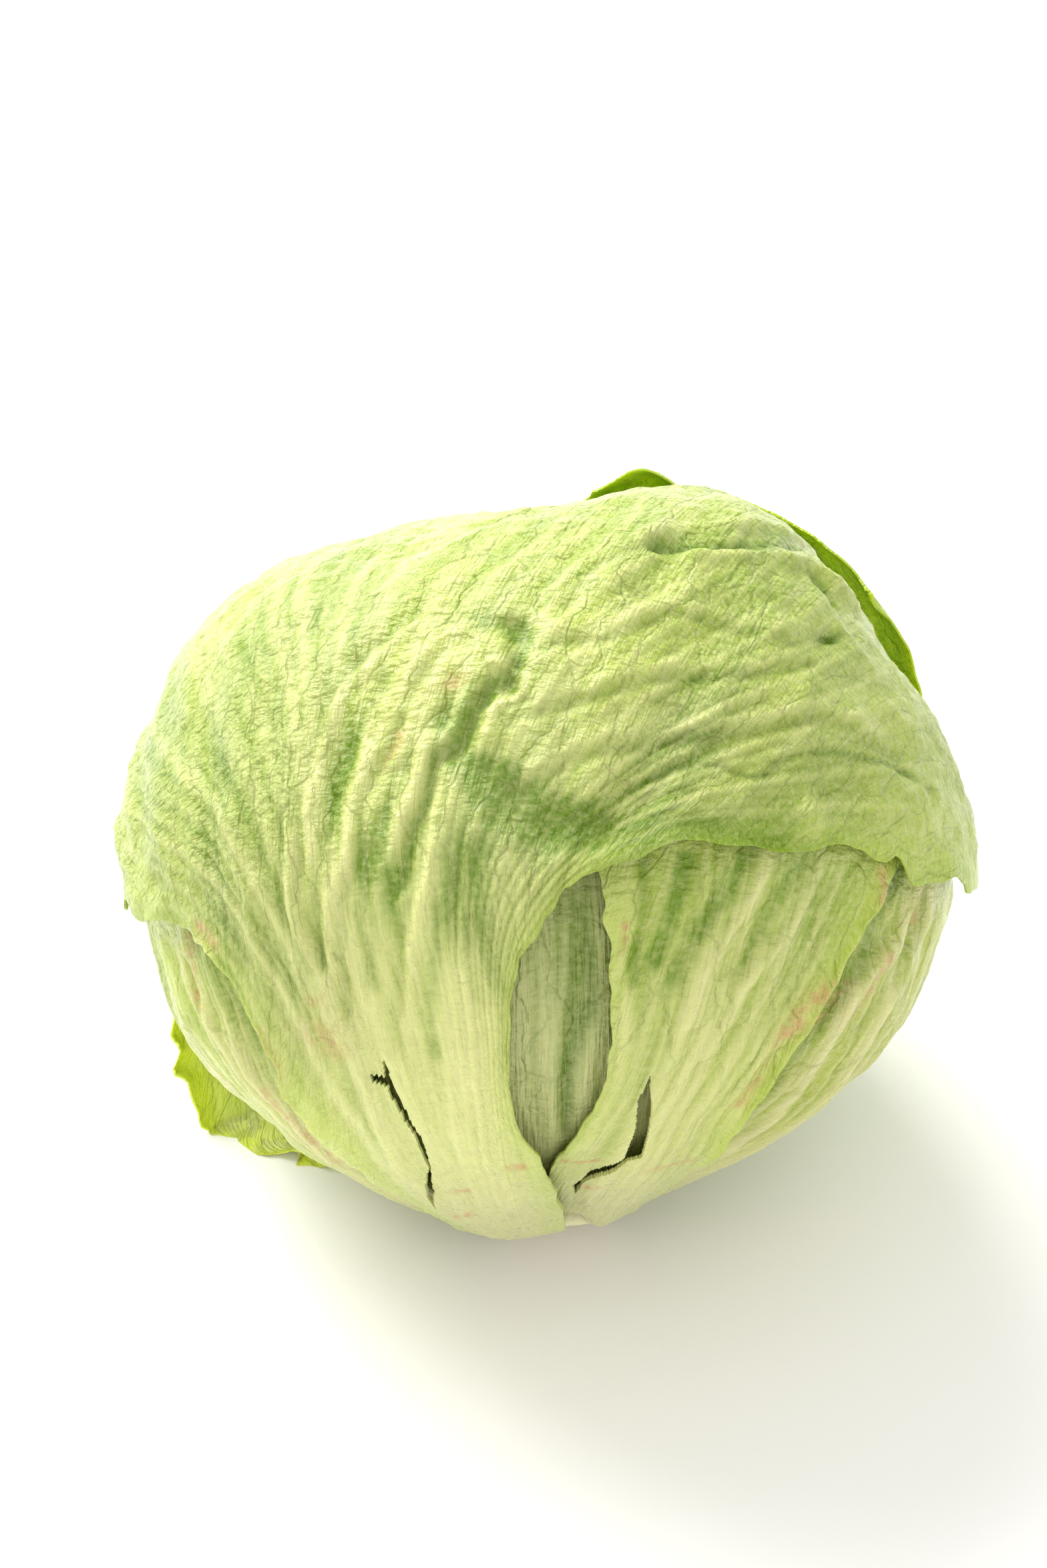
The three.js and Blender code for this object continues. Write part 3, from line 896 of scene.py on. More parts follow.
    def veins_over(self, u: Array, v: Array, arc_u: Array) -> tuple[Array, Array]:
        """Raise the veins.

        Args:
            u: places across, 0 to 1.
            v: places along, 0 to 1.
            arc_u: the way across in millimetres.

        Returns:
            The veins' height in millimetres, and how much of each place is vein, 0 to 1.
        """
        width = (arc_u[-1] - arc_u[0])[None, :]
        rise, share = np.zeros_like(u), np.zeros_like(u)
        along = v[0]
        for vein in self.veins():
            away = (u - vein.across(along)[None, :]) * width
            fade = (0.3 + 0.7 * (1 - smooth((v - 0.35) / 0.6))) * smooth((v - vein.start) / 0.07)
            if vein.start == 0.0:
                fade = 0.3 + 0.7 * (1 - smooth((v - 0.35) / 0.6))
            breadth = vein.breadth * (1.25 - 0.55 * v)
            crest = vein.height * fade * bell(away / breadth)
            rise = np.maximum(rise, crest) + 0.25 * crest
            pale = fade * bell(away / (1.15 * breadth)) * min(1.0, vein.height / self.rib_height)
            share = np.maximum(share, pale)
        return rise, share

    def swell_over(self, arc_u: Array, arc_v: Array, v: Array, polar: Array) -> Array:
        """Broad, soft swells and troughs that run with the veins."""
        grain = Grain(self.SWELL_GRAIN + self.seed)
        long_ones = grain.layered(arc_u / 11.0 + 50, arc_v / 45.0 + 50, 2)
        blisters = grain.layered(arc_u / 8.0 + 90, arc_v / 9.0 + 70, 2)
        return self.swell * (0.8 * long_ones + 0.5 * blisters * smooth(v * 3)) * smooth((polar - 20) / 30)

    def hollow_over(self, arc_u: Array, arc_v: Array, v: Array, ribbing: Array, shade: Array) -> Array:
        """Where the blade between the ribs is sunk and deep green, 0 to 1: partly its own deeper tone, partly
        painted shade in the sunk places, with the painted shade of dents and folds added.
        """
        grain = Grain(self.HOLLOW_GRAIN + self.seed)
        patches = 0.42 + 0.55 * grain.layered(arc_u / 15.0 + 20, arc_v / 50.0 + 30, 2)
        middle = smooth((v - 0.12) / 0.25) * (1 - 0.45 * smooth((v - 0.65) / 0.3))
        # The painted shade of dents and folds is added here.
        return np.clip(self.hollows * patches * middle * (1 - 0.6 * ribbing) + shade, 0, 1.2)

    def pucker_over(self, arc_u: Array, arc_v: Array, ribbing: Array) -> Array:
        """Small puckers across the ribs, as high as the mesh can hold."""
        grain = Grain(self.PUCKER_GRAIN + self.seed)
        small = grain.layered(arc_u / 3.4 + 11, arc_v / 2.3 + 5, 2)
        return self.puckers * 0.5 * small * (1 - 0.35 * ribbing)

    def ruffle_over(self, u: Array, v: Array, arc_u: Array, arc_v: Array, edge: Array) -> Array:
        """The wavy stand of the leaf's edge."""
        grain = Grain(self.RUFFLE_GRAIN + self.seed)
        run = np.where(np.minimum(u, 1 - u) * np.ptp(arc_u) < (1 - v) * np.ptp(arc_v), arc_v, arc_u)
        wave = grain.layered(run / self.frill.wave + 13, edge / 25.0 + 3, 2)
        side = (bell(u / 0.25) * self.frill.sides[0] + bell((1 - u) / 0.25) * self.frill.sides[1]
                + bell((1 - v) / 0.25) * self.frill.sides[2])
        near = bell(edge / (0.6 * self.frill.depth)) * np.clip(side, 0, 1)
        return near * self.frill.ruffle * (0.35 + wave) * smooth(v * 5)

    def notched(self, skin: Array, u: Array, v: Array) -> Array:
        """Draw the leaf's outline in and out along its edges, without moving what lies inside."""
        grain = Grain(self.NOTCH_GRAIN + self.seed)
        step_u = np.gradient(skin, axis=0)
        step_v = np.gradient(skin, axis=1)
        step_u /= np.linalg.norm(step_u, axis=-1, keepdims=True) + 1e-9
        step_v /= np.linalg.norm(step_v, axis=-1, keepdims=True) + 1e-9
        run = np.linspace(0, 1, skin.shape[1])[None, :] * 90.0
        turn = np.linspace(0, 1, skin.shape[0])[:, None] * 110.0
        left = grain.layered(run / 3.5, run * 0 + 1, 3) * bell(u / 0.05) * smooth(v * 5)
        right = grain.layered(run / 3.5, run * 0 + 8, 3) * bell((1 - u) / 0.05) * smooth(v * 5)
        tip = grain.layered(turn / 3.5, turn * 0 + 4, 3) * bell((1 - v) / 0.04)
        ragged = self.frill.notch * (1 + self.frill.ragged * smooth((v - 0.7) / 0.25))[..., None]
        return skin + ragged * ((left + right)[..., None] * step_u + tip[..., None] * step_v)

    def marks_over(self, form: HeadForm, d: Array, polar: Array,
                   outer: Array) -> tuple[Array, dict[str, Array]]:
        """Press in the leaf's dents, raise its folds and lay its stains; paint shade into dents, folds and
        grooves, light onto bumps, and a paler crest, part painted highlight, along folds.

        Args:
            form: the head.
            d: the leaf's directions.
            polar: their polar angles.
            outer: the leaf's outer radius.

        Returns:
            The height in millimetres, and the painted shade, the fold crests' paleness with its painted
            highlight, and the rust, 0 to 1.
        """
        relief, shade = np.zeros_like(polar), np.zeros_like(polar)
        pale, rust = np.zeros_like(polar), np.zeros_like(polar)
        for dent in self.dents:
            centre = form.direction(*dent.at)
            away = (d - centre) * outer[..., None]
            outwards = form.direction(dent.at[0] + 1, dent.at[1]) - centre
            outwards /= np.linalg.norm(outwards)
            sideways = np.cross(outwards, centre)
            turn = math.radians(dent.turn)
            long_way = math.cos(turn) * outwards + math.sin(turn) * sideways
            wide_way = math.cos(turn) * sideways - math.sin(turn) * outwards
            place = bell(away @ wide_way / dent.size[0]) * bell(away @ long_way / dent.size[1])
            place = place * (np.sum(d * centre, -1) > 0)
            relief = relief - dent.depth * place
            # Painted shade in a dent, painted light on a bump.
            shade = shade + dent.shade * place * np.sign(dent.depth)
        for fold in self.folds:
            away, side = self.from_path(form, fold.path, d, outer)
            grain = Grain(self.FOLD_GRAIN + self.seed)
            uneven = 0.72 + 0.4 * grain.at(d[..., 0] * outer / 6 + 40, d[..., 2] * outer / 6 + 40)
            crest = bell(away / fold.breadth) * uneven
            beside = bell((side - fold.side * 1.9 * fold.breadth) / fold.breadth) * bell(
                np.maximum(away - 3.2 * fold.breadth, 0) / fold.breadth)
            relief = relief + fold.rise * crest - fold.groove * beside
            # Paler crest, part painted highlight; painted shade along the crest and in the groove beside it.
            pale = pale + 0.7 * fold.pale * crest
            shade = shade + 0.55 * fold.groove * beside + fold.shade * crest
        for stain in self.stains:
            away, _ = self.from_path(form, stain.path, d, outer)
            rust = np.maximum(rust, stain.strength * bell(away / stain.breadth))
        return relief, {"shade": shade, "pale_crest_and_highlight": pale, "rust": np.clip(rust, 0, 1)}

    @staticmethod
    def from_path(form: HeadForm, path: Path, d: Array, outer: Array) -> tuple[Array, Array]:
        """How far each place lies from a path over the head.

        Args:
            form: the head.
            path: places along the path.
            d: directions of the places to measure.
            outer: how far they are from the centre.

        Returns:
            The distance in millimetres, and the distance to the path's right, signed.
        """
        points = form.direction(*np.array(path, float).T)
        steps = np.linspace(0, 1, 12 * len(path))
        curve = spline_weights(len(path), steps) @ points
        curve /= np.linalg.norm(curve, axis=-1, keepdims=True)
        flat = d.reshape(-1, 3)
        near = np.argmax(flat @ curve.T, axis=1)
        ahead = np.gradient(curve, axis=0)[near]
        ahead /= np.linalg.norm(ahead, axis=-1, keepdims=True)
        offset = flat - curve[near]
        along = np.sum(offset * ahead, -1, keepdims=True)
        at_end = (near == 0) | (near == len(curve) - 1)
        sideways = offset - along * ahead * ~at_end[:, None]
        away = np.linalg.norm(sideways, axis=-1) * outer.ravel()
        side = np.sum(np.cross(ahead, curve[near]) * offset, -1) * outer.ravel()
        return away.reshape(outer.shape), side.reshape(outer.shape)

    def kept_cells(self, polar: Array, azimuth: Array) -> Array:
        """Which cells are there once the leaf's tear is cut out."""
        kept = np.ones((polar.shape[0] - 1, polar.shape[1] - 1), bool)
        if not self.tear:
            return kept
        p = (polar[:-1, :-1] + polar[1:, 1:]) / 2
        a = (azimuth[:-1, :-1] + azimuth[1:, 1:]) / 2
        inside = np.zeros_like(kept)
        for (p0, a0), (p1, a1) in zip(self.tear, self.tear[1:] + self.tear[:1]):
            if p0 == p1:
                continue
            crossing = (p0 > p) != (p1 > p)
            inside ^= crossing & (a < (a1 - a0) * (p - p0) / (p1 - p0) + a0)
        return kept & ~inside


@dataclass(frozen=True)
class Crinkle:
    """Geometry nodes that crinkle a leaf along its own outward direction."""

    seed: int
    height: float
    grains: float = 0.42

    def over(self, piece: bpy.types.Object) -> bpy.types.Object:
        """Crinkle a leaf.

        Args:
            piece: the leaf, with its leaf_place and outward values.

        Returns:
            A plain mesh object in its place.
        """
        tree = self.tree(piece.data.materials[0])
        numbers = {"Height": self.height * MILLIMETRE, "Grains": self.grains, "Seed": float(self.seed)}
        return applied(piece, tree, numbers)

    def tree(self, material: bpy.types.Material) -> bpy.types.NodeTree:
        """Build the node tree, with its height, grain and seed as inputs."""
        tree = bpy.data.node_groups.new("leaf crinkle", "GeometryNodeTree")
        tree.interface.new_socket("Geometry", in_out="INPUT", socket_type="NodeSocketGeometry")
        for name in ("Height", "Grains", "Seed"):
            tree.interface.new_socket(name, in_out="INPUT", socket_type="NodeSocketFloat")
        tree.interface.new_socket("Geometry", in_out="OUTPUT", socket_type="NodeSocketGeometry")
        nodes, links = tree.nodes, tree.links
        start, end = nodes.new("NodeGroupInput"), nodes.new("NodeGroupOutput")
        place, outward = (nodes.new("GeometryNodeInputNamedAttribute") for _ in range(2))
        for node, name in ((place, "leaf_place"), (outward, "outward")):
            node.data_type = "FLOAT_VECTOR"
            node.inputs["Name"].default_value = name
        noise = nodes.new("ShaderNodeTexNoise")
        noise.noise_dimensions = "4D"
        noise.inputs["Detail"].default_value = 3.0
        centred, scaled = nodes.new("ShaderNodeMath"), nodes.new("ShaderNodeMath")
        centred.operation, scaled.operation = "SUBTRACT", "MULTIPLY"
        centred.inputs[1].default_value = 0.5
        push = nodes.new("ShaderNodeVectorMath")
        push.operation = "SCALE"
        move, realize = nodes.new("GeometryNodeSetPosition"), nodes.new("GeometryNodeRealizeInstances")
        dress = nodes.new("GeometryNodeSetMaterial")
        dress.inputs["Material"].default_value = material
        links.new(place.outputs["Attribute"], noise.inputs["Vector"])
        links.new(start.outputs["Grains"], noise.inputs["Scale"])
        links.new(start.outputs["Seed"], noise.inputs["W"])
        links.new(noise.outputs["Fac"], centred.inputs[0])
        links.new(centred.outputs["Value"], scaled.inputs[0])
        links.new(start.outputs["Height"], scaled.inputs[1])
        links.new(outward.outputs["Attribute"], push.inputs[0])
        links.new(scaled.outputs["Value"], push.inputs["Scale"])
        links.new(start.outputs["Geometry"], move.inputs["Geometry"])
        links.new(push.outputs["Vector"], move.inputs["Offset"])
        links.new(move.outputs["Geometry"], realize.inputs["Geometry"])
        links.new(realize.outputs["Geometry"], dress.inputs["Geometry"])
        links.new(dress.outputs["Geometry"], end.inputs["Geometry"])
        return tree


def applied(piece: bpy.types.Object, tree: bpy.types.NodeTree,
            numbers: dict[str, float]) -> bpy.types.Object:
    """Run geometry nodes on a piece and turn the result into a plain mesh.

    Args:
        piece: the object to finish.
        tree: its geometry nodes.
        numbers: the tree's inputs, by name.

    Returns:
        The same object with its final mesh and no modifiers.
    """
    modifier = piece.modifiers.new(tree.name, "NODES")
    modifier.node_group = tree
    for item in tree.interface.items_tree:
        if item.item_type == "SOCKET" and item.in_out == "INPUT" and item.name in numbers:
            modifier[item.identifier] = numbers[item.name]
    depsgraph = bpy.context.evaluated_depsgraph_get()
    final = bpy.data.meshes.new_from_object(piece.evaluated_get(depsgraph), depsgraph=depsgraph)
    piece.modifiers.clear()
    old, piece.data = piece.data, final
    name = old.name
    bpy.data.meshes.remove(old)
    final.name = name
    return piece


# ---- Stem ----

@dataclass
class Stem:
    """The cut stem: a plug of cream flesh with a ring of sap vessels on its cut face."""

    edge: float = 12.2
    inner_end: float = 63.0
    cut: float = 72.5
    dish: float = 0.8
    steps_round: int = 144
    steps_in: int = 40
    vessels: int = 34
    flesh: FleshFinish = FleshFinish("stem flesh")
    sap: FleshFinish = FleshFinish("sap vessels", flesh=tone(196, 176, 118), browning=0.8)

    def at(self, form: HeadForm, radius: Array, turn: Array, height: Array) -> Array:
        """Places round the stem, in metres."""
        round_it = np.cos(turn)[..., None] * form.front_way + np.sin(turn)[..., None] * form.right_way
        places = np.array(form.centre) + height[..., None] * form.stem_way + radius[..., None] * round_it
        return places * MILLIMETRE

    def build(self, form: HeadForm) -> list[bpy.types.Object]:
        """Make the plug and its vessels."""
        return [self.plug(form), self.vessel_ring(form)]

    def outline(self) -> Array:
        """The plug's half section, from the middle of its inner end to the middle of its cut."""
        angle = math.radians(self.edge)
        cut_edge = self.cut - self.dish
        rim = cut_edge * math.tan(angle)
        corners = np.array([
            (0.0, self.inner_end), (self.inner_end * math.sin(angle), self.inner_end * math.cos(angle)),
            (rim - 0.6, cut_edge - 1.0), (rim - 1.4, cut_edge), (rim / 2, self.cut - 0.3), (0.0, self.cut)])
        lengths = np.concatenate([[0], np.cumsum(np.linalg.norm(np.diff(corners, axis=0), axis=1))])
        place = np.linspace(0, lengths[-1], self.steps_in)
        return np.stack([np.interp(place, lengths, corners[:, k]) for k in (0, 1)], 1)

    def plug(self, form: HeadForm) -> bpy.types.Object:
        """The plug of flesh, with a knife's shallow ridges over its cut."""
        section = self.outline()[1:-1]
        turn = np.linspace(0, 2 * math.pi, self.steps_round, endpoint=False)
        radius = np.repeat(section[:, :1], self.steps_round, 1)
        height = np.repeat(section[:, 1:], self.steps_round, 1)
        turns = np.repeat(turn[None, :], len(section), 0)
        on_cut = height > self.cut - self.dish - 0.05
        x, y = radius * np.cos(turns), radius * np.sin(turns)
        scored = Grain(40).layered(x / 1.2 + 30, y / 5.0 + 30, 2) * 0.12
        height = height + np.where(on_cut, scored, 0.0)
        knobs = Grain(41).at(3 * np.cos(turns) + 20, 3 * np.sin(turns) + height / 4 + 20)
        radius = radius * (1 + 0.02 * knobs)
        rings = self.at(form, radius, turns, height)
        poles = self.at(form, np.zeros(2), np.zeros(2), np.array([self.inner_end, self.cut]))
        vertices = np.concatenate([rings.reshape(-1, 3), poles])
        n, m = self.steps_round, len(section)
        number = np.arange(n * m).reshape(m, n)
        after = np.roll(number, -1, axis=1)
        sides = np.stack([number[:-1], number[1:], after[1:], after[:-1]], -1).reshape(-1, 4)
        mesh = bpy.data.meshes.new("cut_stem")
        inner_cap = [(n * m, int(a), int(b)) for a, b in zip(number[0], after[0])]
        cut_cap = [(n * m + 1, int(b), int(a)) for a, b in zip(number[-1], after[-1])]
        mesh.from_pydata(vertices.tolist(), [], sides.tolist() + inner_cap + cut_cap)
        mesh.materials.append(self.flesh.make())
        mesh.polygons.foreach_set("use_smooth", np.ones(len(mesh.polygons), bool))
        mesh.set_sharp_from_angle(angle=math.radians(50))
        piece = bpy.data.objects.new("cut_stem", mesh)
        bpy.context.scene.collection.objects.link(piece)
        return piece

    def vessel_ring(self, form: HeadForm) -> bpy.types.Object:
        """A ring of small beads of dried sap, set round the cut face by geometry nodes."""
        turn = np.linspace(0, 2 * math.pi, self.vessels, endpoint=False)
        wobble = 9.0 + 0.7 * Grain(42).at(turn * 2.5, turn * 0 + 3)
        height = np.full_like(turn, self.cut - 0.28)
        places = self.at(form, wobble, turn, height)
        mesh = bpy.data.meshes.new("stem_vessels")
        mesh.from_pydata(places.tolist(), [], [])
        piece = bpy.data.objects.new("stem_vessels", mesh)
        bpy.context.scene.collection.objects.link(piece)
        tree = bpy.data.node_groups.new("sap beads", "GeometryNodeTree")
        tree.interface.new_socket("Geometry", in_out="INPUT", socket_type="NodeSocketGeometry")
        tree.interface.new_socket("Bead", in_out="INPUT", socket_type="NodeSocketFloat")
        tree.interface.new_socket("Seed", in_out="INPUT", socket_type="NodeSocketInt")
        tree.interface.new_socket("Geometry", in_out="OUTPUT", socket_type="NodeSocketGeometry")
        nodes, links = tree.nodes, tree.links
        start, end = nodes.new("NodeGroupInput"), nodes.new("NodeGroupOutput")
        bead, sit = nodes.new("GeometryNodeMeshIcoSphere"), nodes.new("GeometryNodeInstanceOnPoints")
        bead.inputs["Subdivisions"].default_value = 2
        size, realize = nodes.new("FunctionNodeRandomValue"), nodes.new("GeometryNodeRealizeInstances")
        size.data_type = "FLOAT"
        floats = [s for s in size.inputs if s.type == "VALUE" and s.enabled]
        floats[0].default_value, floats[1].default_value = 0.6, 1.3
        dress = nodes.new("GeometryNodeSetMaterial")
        dress.inputs["Material"].default_value = self.sap.make()
        links.new(start.outputs["Bead"], bead.inputs["Radius"])
        links.new(start.outputs["Seed"], size.inputs["Seed"])
        links.new(start.outputs["Geometry"], sit.inputs["Points"])
        links.new(bead.outputs["Mesh"], sit.inputs["Instance"])
        links.new(next(s for s in size.outputs if s.enabled), sit.inputs["Scale"])
        links.new(sit.outputs["Instances"], realize.inputs["Geometry"])
        links.new(realize.outputs["Geometry"], dress.inputs["Geometry"])
        links.new(dress.outputs["Geometry"], end.inputs["Geometry"])
        return applied(piece, tree, {"Bead": 0.6 * MILLIMETRE, "Seed": 5})


# ---- The whole head ----

INNER = LeafFinish("inner leaf", blade=tone(150, 164, 76), deep=tone(96, 124, 22), rib=tone(190, 194, 128))
OUTER = LeafFinish("outer leaf")
WRAPPER = LeafFinish("wrapper leaf", blade=tone(174, 193, 78), deep=tone(106, 140, 8),
                     rib=tone(216, 220, 142))
GREEN = LeafFinish("green leaf", blade=tone(146, 176, 46), deep=tone(96, 132, 20), rib=tone(190, 206, 108),
                   margin=tone(178, 204, 24))
FRILLED = LeafFinish("frilled leaf", blade=tone(178, 192, 76), deep=tone(120, 146, 30),
                     rib=tone(218, 216, 150),
                     margin=tone(184, 208, 50))
# A lighter copy of the frilled leaf's colours: painted light for a leaf that lies in the head's shadow.
UNDER_PAINTED_LIGHT = LeafFinish("under leaf", blade=tone(206, 218, 104), deep=tone(160, 188, 44), rib=tone(222, 228, 156),
                   margin=tone(204, 220, 60))


def groove(path: Path, depth: float, breadth: float, shade: float = 0.8) -> Fold:
    """A sunk line, darkened with painted shade along it."""
    return Fold(path, -depth, breadth, pale=0.0, shade=shade)


@dataclass
class Lettuce:
    """The head: its heart, its stem and its eleven outer leaves."""

    form: HeadForm = field(default_factory=HeadForm)
    stem: Stem = field(default_factory=Stem)

    def leaves(self) -> list[Leaf]:
        """The leaves, from the innermost to the outermost."""
        b = LEAF_BASE
        return [
            Leaf("inner_front_leaf", Fan(2, 50, 72, 138).net(b), INNER, Slot.INNER, (150, 110),
                 ribs=34, rib_height=0.6, hollows=0.6, seed=1,
                 # Dents and groove with painted shade.
                 dents=(Dent((127, -6), (6, 6), 1.2), Dent((121, -7), (6, 6), 1.2), Dent((116, -12),
                                                                                         (8, 8), 1.0)),
                 folds=(groove(((90, 3), (77, 5), (64, 2), (50, 2)), 0.7, 1.6),)),
            Leaf("crown_leaf", Fan(96, 42, 58, 158, 26).net(b), INNER, Slot.INNER, (110, 120), seed=2,
                 frill=Frill(ruffle=0.9, notch=1.2, bright=0.8)),
            Leaf("back_right_leaf", Fan(128, 40, 50, 132).net(b), OUTER, Slot.OUTER, (110, 110), seed=3,
                 frill=Frill(ruffle=1.2, notch=1.2, bright=0.5)),
            Leaf("back_left_leaf", Fan(-130, 40, 52, 134).net(b), OUTER, Slot.OUTER, (120, 120), seed=4,
                 frill=Frill(ruffle=1.2, notch=1.2, bright=0.5)),
            self.right_leaf(b), self.left_lower_leaf(b), self.front_right_leaf(b), self.left_leaf(b),
            self.front_wrapper_leaf(b), self.back_leaf(b),
            # Its lighter finish is painted light, for a leaf in the head's shadow.
            Leaf("under_leaf", Fan(-172, 50, 62, 96, 14).net(b), UNDER_PAINTED_LIGHT, Slot.GREEN, (150, 110), seed=11,
                 ribs=16, lifts=(Lift((1, 0.62), (0.13, 0.2), 17.0),),
                 frill=Frill(ruffle=3.4, notch=2.2, wave=6.5, bright=0.8)),
        ]

    @staticmethod
    def right_leaf(b: float) -> Leaf:
        """The leaf whose low right side stands free of the leaves over it."""
        return Leaf(
            "right_leaf", Fan(68, 34, 46, 122, 14).net(b), FRILLED, Slot.OUTER, (140, 150), seed=5,
            ribs=11, rib_height=0.8, hollows=0.4, swell=1.0,
            # Painted shadow beside the front right leaf's margin; paler fold crests, part painted highlight.
            folds=(groove(((94, 58), (87, 54), (78, 47), (70, 42), (62, 37), (54, 40), (44, 44)),
                          1.2, 3.4, 1.2),
                   Fold(((92, 64), (81, 60), (77, 52), (70, 48), (58, 46)), 1.3, 2.4, 0.7, 1.0, 0.5),
                   Fold(((96, 72), (84, 68), (70, 60)), 1.0, 2.2, 0.6, 1.0, 0.4)),
            stains=(Stain(((79, 56), (75, 53), (71, 50)), 1.6), Stain(((89, 64), (84, 64)), 1.8),
                    Stain(((76, 48), (70, 44)), 1.0, 0.6)),
            frill=Frill(ruffle=1.0, notch=1.0, bright=0.5))

    @staticmethod
    def left_lower_leaf(b: float) -> Leaf:
        """The leaf at the low left."""
        return Leaf(
            "left_lower_leaf", Fan(-88, 36, 42, 118, 16).net(b), OUTER, Slot.OUTER, (130, 140), seed=6,
            ribs=10, rib_height=0.8, swell=0.9,
            # Groove with painted shade; paler fold crest, part painted highlight.
            folds=(groove(((80, -72), (73, -70), (62, -66), (50, -64)), 0.8, 2.6, 0.7),
                   Fold(((86, -82), (76, -76), (64, -74), (50, -72)), 1.1, 2.2, 0.5, -1.0, 0.5)),
            stains=(Stain(((70, -70), (60, -72), (48, -66)), 1.5, 0.8),),
            frill=Frill(ruffle=1.2, notch=1.0, bright=0.4))

    @staticmethod
    def front_right_leaf(b: float) -> Leaf:
        """The leaf at the front right, torn near its base."""
        return Leaf("front_right_leaf", Net((
            ((b, -6), (40, -1), (62, 7), (80, 7), (97, 5), (120, 0)),
            ((b, 11), (40, 11), (61, 14), (79, 17), (97, 21), (124, 22)),
            ((b, 30), (40, 21), (59, 21), (77, 26), (95, 33), (120, 44)),
            ((b, 45), (39, 30), (57, 28), (74, 33), (92, 43), (113, 59)),
            ((b, 60), (38, 38), (55, 34), (72, 38), (88, 49), (104, 68)),
        )), OUTER, Slot.OUTER, (150, 210), seed=7, ribs=9, rib_height=0.8, hollows=0.55, swell=1.0,
            lifts=(Lift((1, 0.45), (0.05, 0.24), 2.8),),
            tear=((65, 14.2), (55, 16.4), (46, 18), (41, 14), (34, 8.5), (26, 7.5),
                  (31, 5.4), (38, 8.5), (45, 14.5), (53, 14.0), (60, 13.2)),
            # Grooves darkened with painted shade; folds with paler crests, part painted highlight.
            folds=(Fold(((93, 7), (80, 8), (72, 9), (63, 8), (49, 6)), 1.0, 1.8, 0.0, 1.0, 0.6),
                   groove(((100, 11), (90, 11), (84, 10), (80, 10)), 1.0, 1.4, 1.0),
                   groove(((96, 17), (90, 15), (83, 13)), 0.8, 1.8, 0.9),
                   groove(((98, 27), (91, 22), (85, 18), (80, 16)), 0.9, 2.0, 0.9),
                   groove(((95, 34), (88, 29), (81, 25)), 0.7, 2.2, 0.6),
                   Fold(((98, 31), (90, 26), (82, 21), (74, 18)), 0.8, 1.3, 0.0, 1.0, 0.7),
                   Fold(((95, 39), (87, 33), (78, 26), (68, 22)), 0.9, 1.3, 0.0, 1.0, 0.7),
                   Fold(((92, 50), (83, 47), (77, 40), (72, 36), (64, 31), (52, 34)),
                        0.9, 1.6, 0.0, 1.0, 0.6)),
            stains=(Stain(((92, 50), (86, 49), (82, 46)), 1.8), Stain(((77, 40), (74, 37), (70, 34)),
                                                                      2.2, 0.9),
                    Stain(((66, 33), (58, 32)), 1.2, 0.7), Stain(((88, 9), (84, 8.5)), 0.7),
                    Stain(((43, 2), (43, 9)), 0.9), Stain(((41, 22), (43, 31)), 0.9),
                    Stain(((30, 8), (33, 12)), 0.8)),
            frill=Frill(ruffle=0.9, notch=0.45, bright=0.2, sides=(1.0, 2.0, 1.0)))

    @staticmethod
    def left_leaf(b: float) -> Leaf:
        """The leaf at the left of the wrapper leaf."""
        return Leaf("left_leaf", Net((
            ((b, -100), (36, -77), (55, -66), (71, -66), (86, -74), (104, -84)),
            ((b, -82), (37, -66), (56, -58), (74, -57), (90, -62), (112, -68)),
            ((b, -64), (38, -54), (58, -47), (77, -46), (93, -48), (114, -50)),
            ((b, -46), (38, -40), (60, -32), (78, -30), (93, -30), (110, -30)),
        )), OUTER, Slot.OUTER, (120, 170), seed=8, ribs=8, rib_height=0.8, swell=0.9,
            # Painted shadow beside the wrapper leaf's left margin; paler fold crest, part painted highlight.
            folds=(groove(((88, -60), (84, -57), (77, -52), (70, -47), (62, -44), (54, -45), (44, -48)),
                          1.2, 5.0, 1.3),
                   Fold(((86, -60), (76, -61), (67, -55), (55, -53), (40, -58)), 1.2, 2.0, 0.0, 1.0, 0.6)),
            stains=(Stain(((84, -58), (73, -59)), 1.5, 0.7), Stain(((60, -53), (50, -54), (41, -57)),
                                                                   1.2, 0.8)),
            frill=Frill(ruffle=1.0, notch=1.0, bright=0.3, sides=(2.0, 1.0, 1.0)))

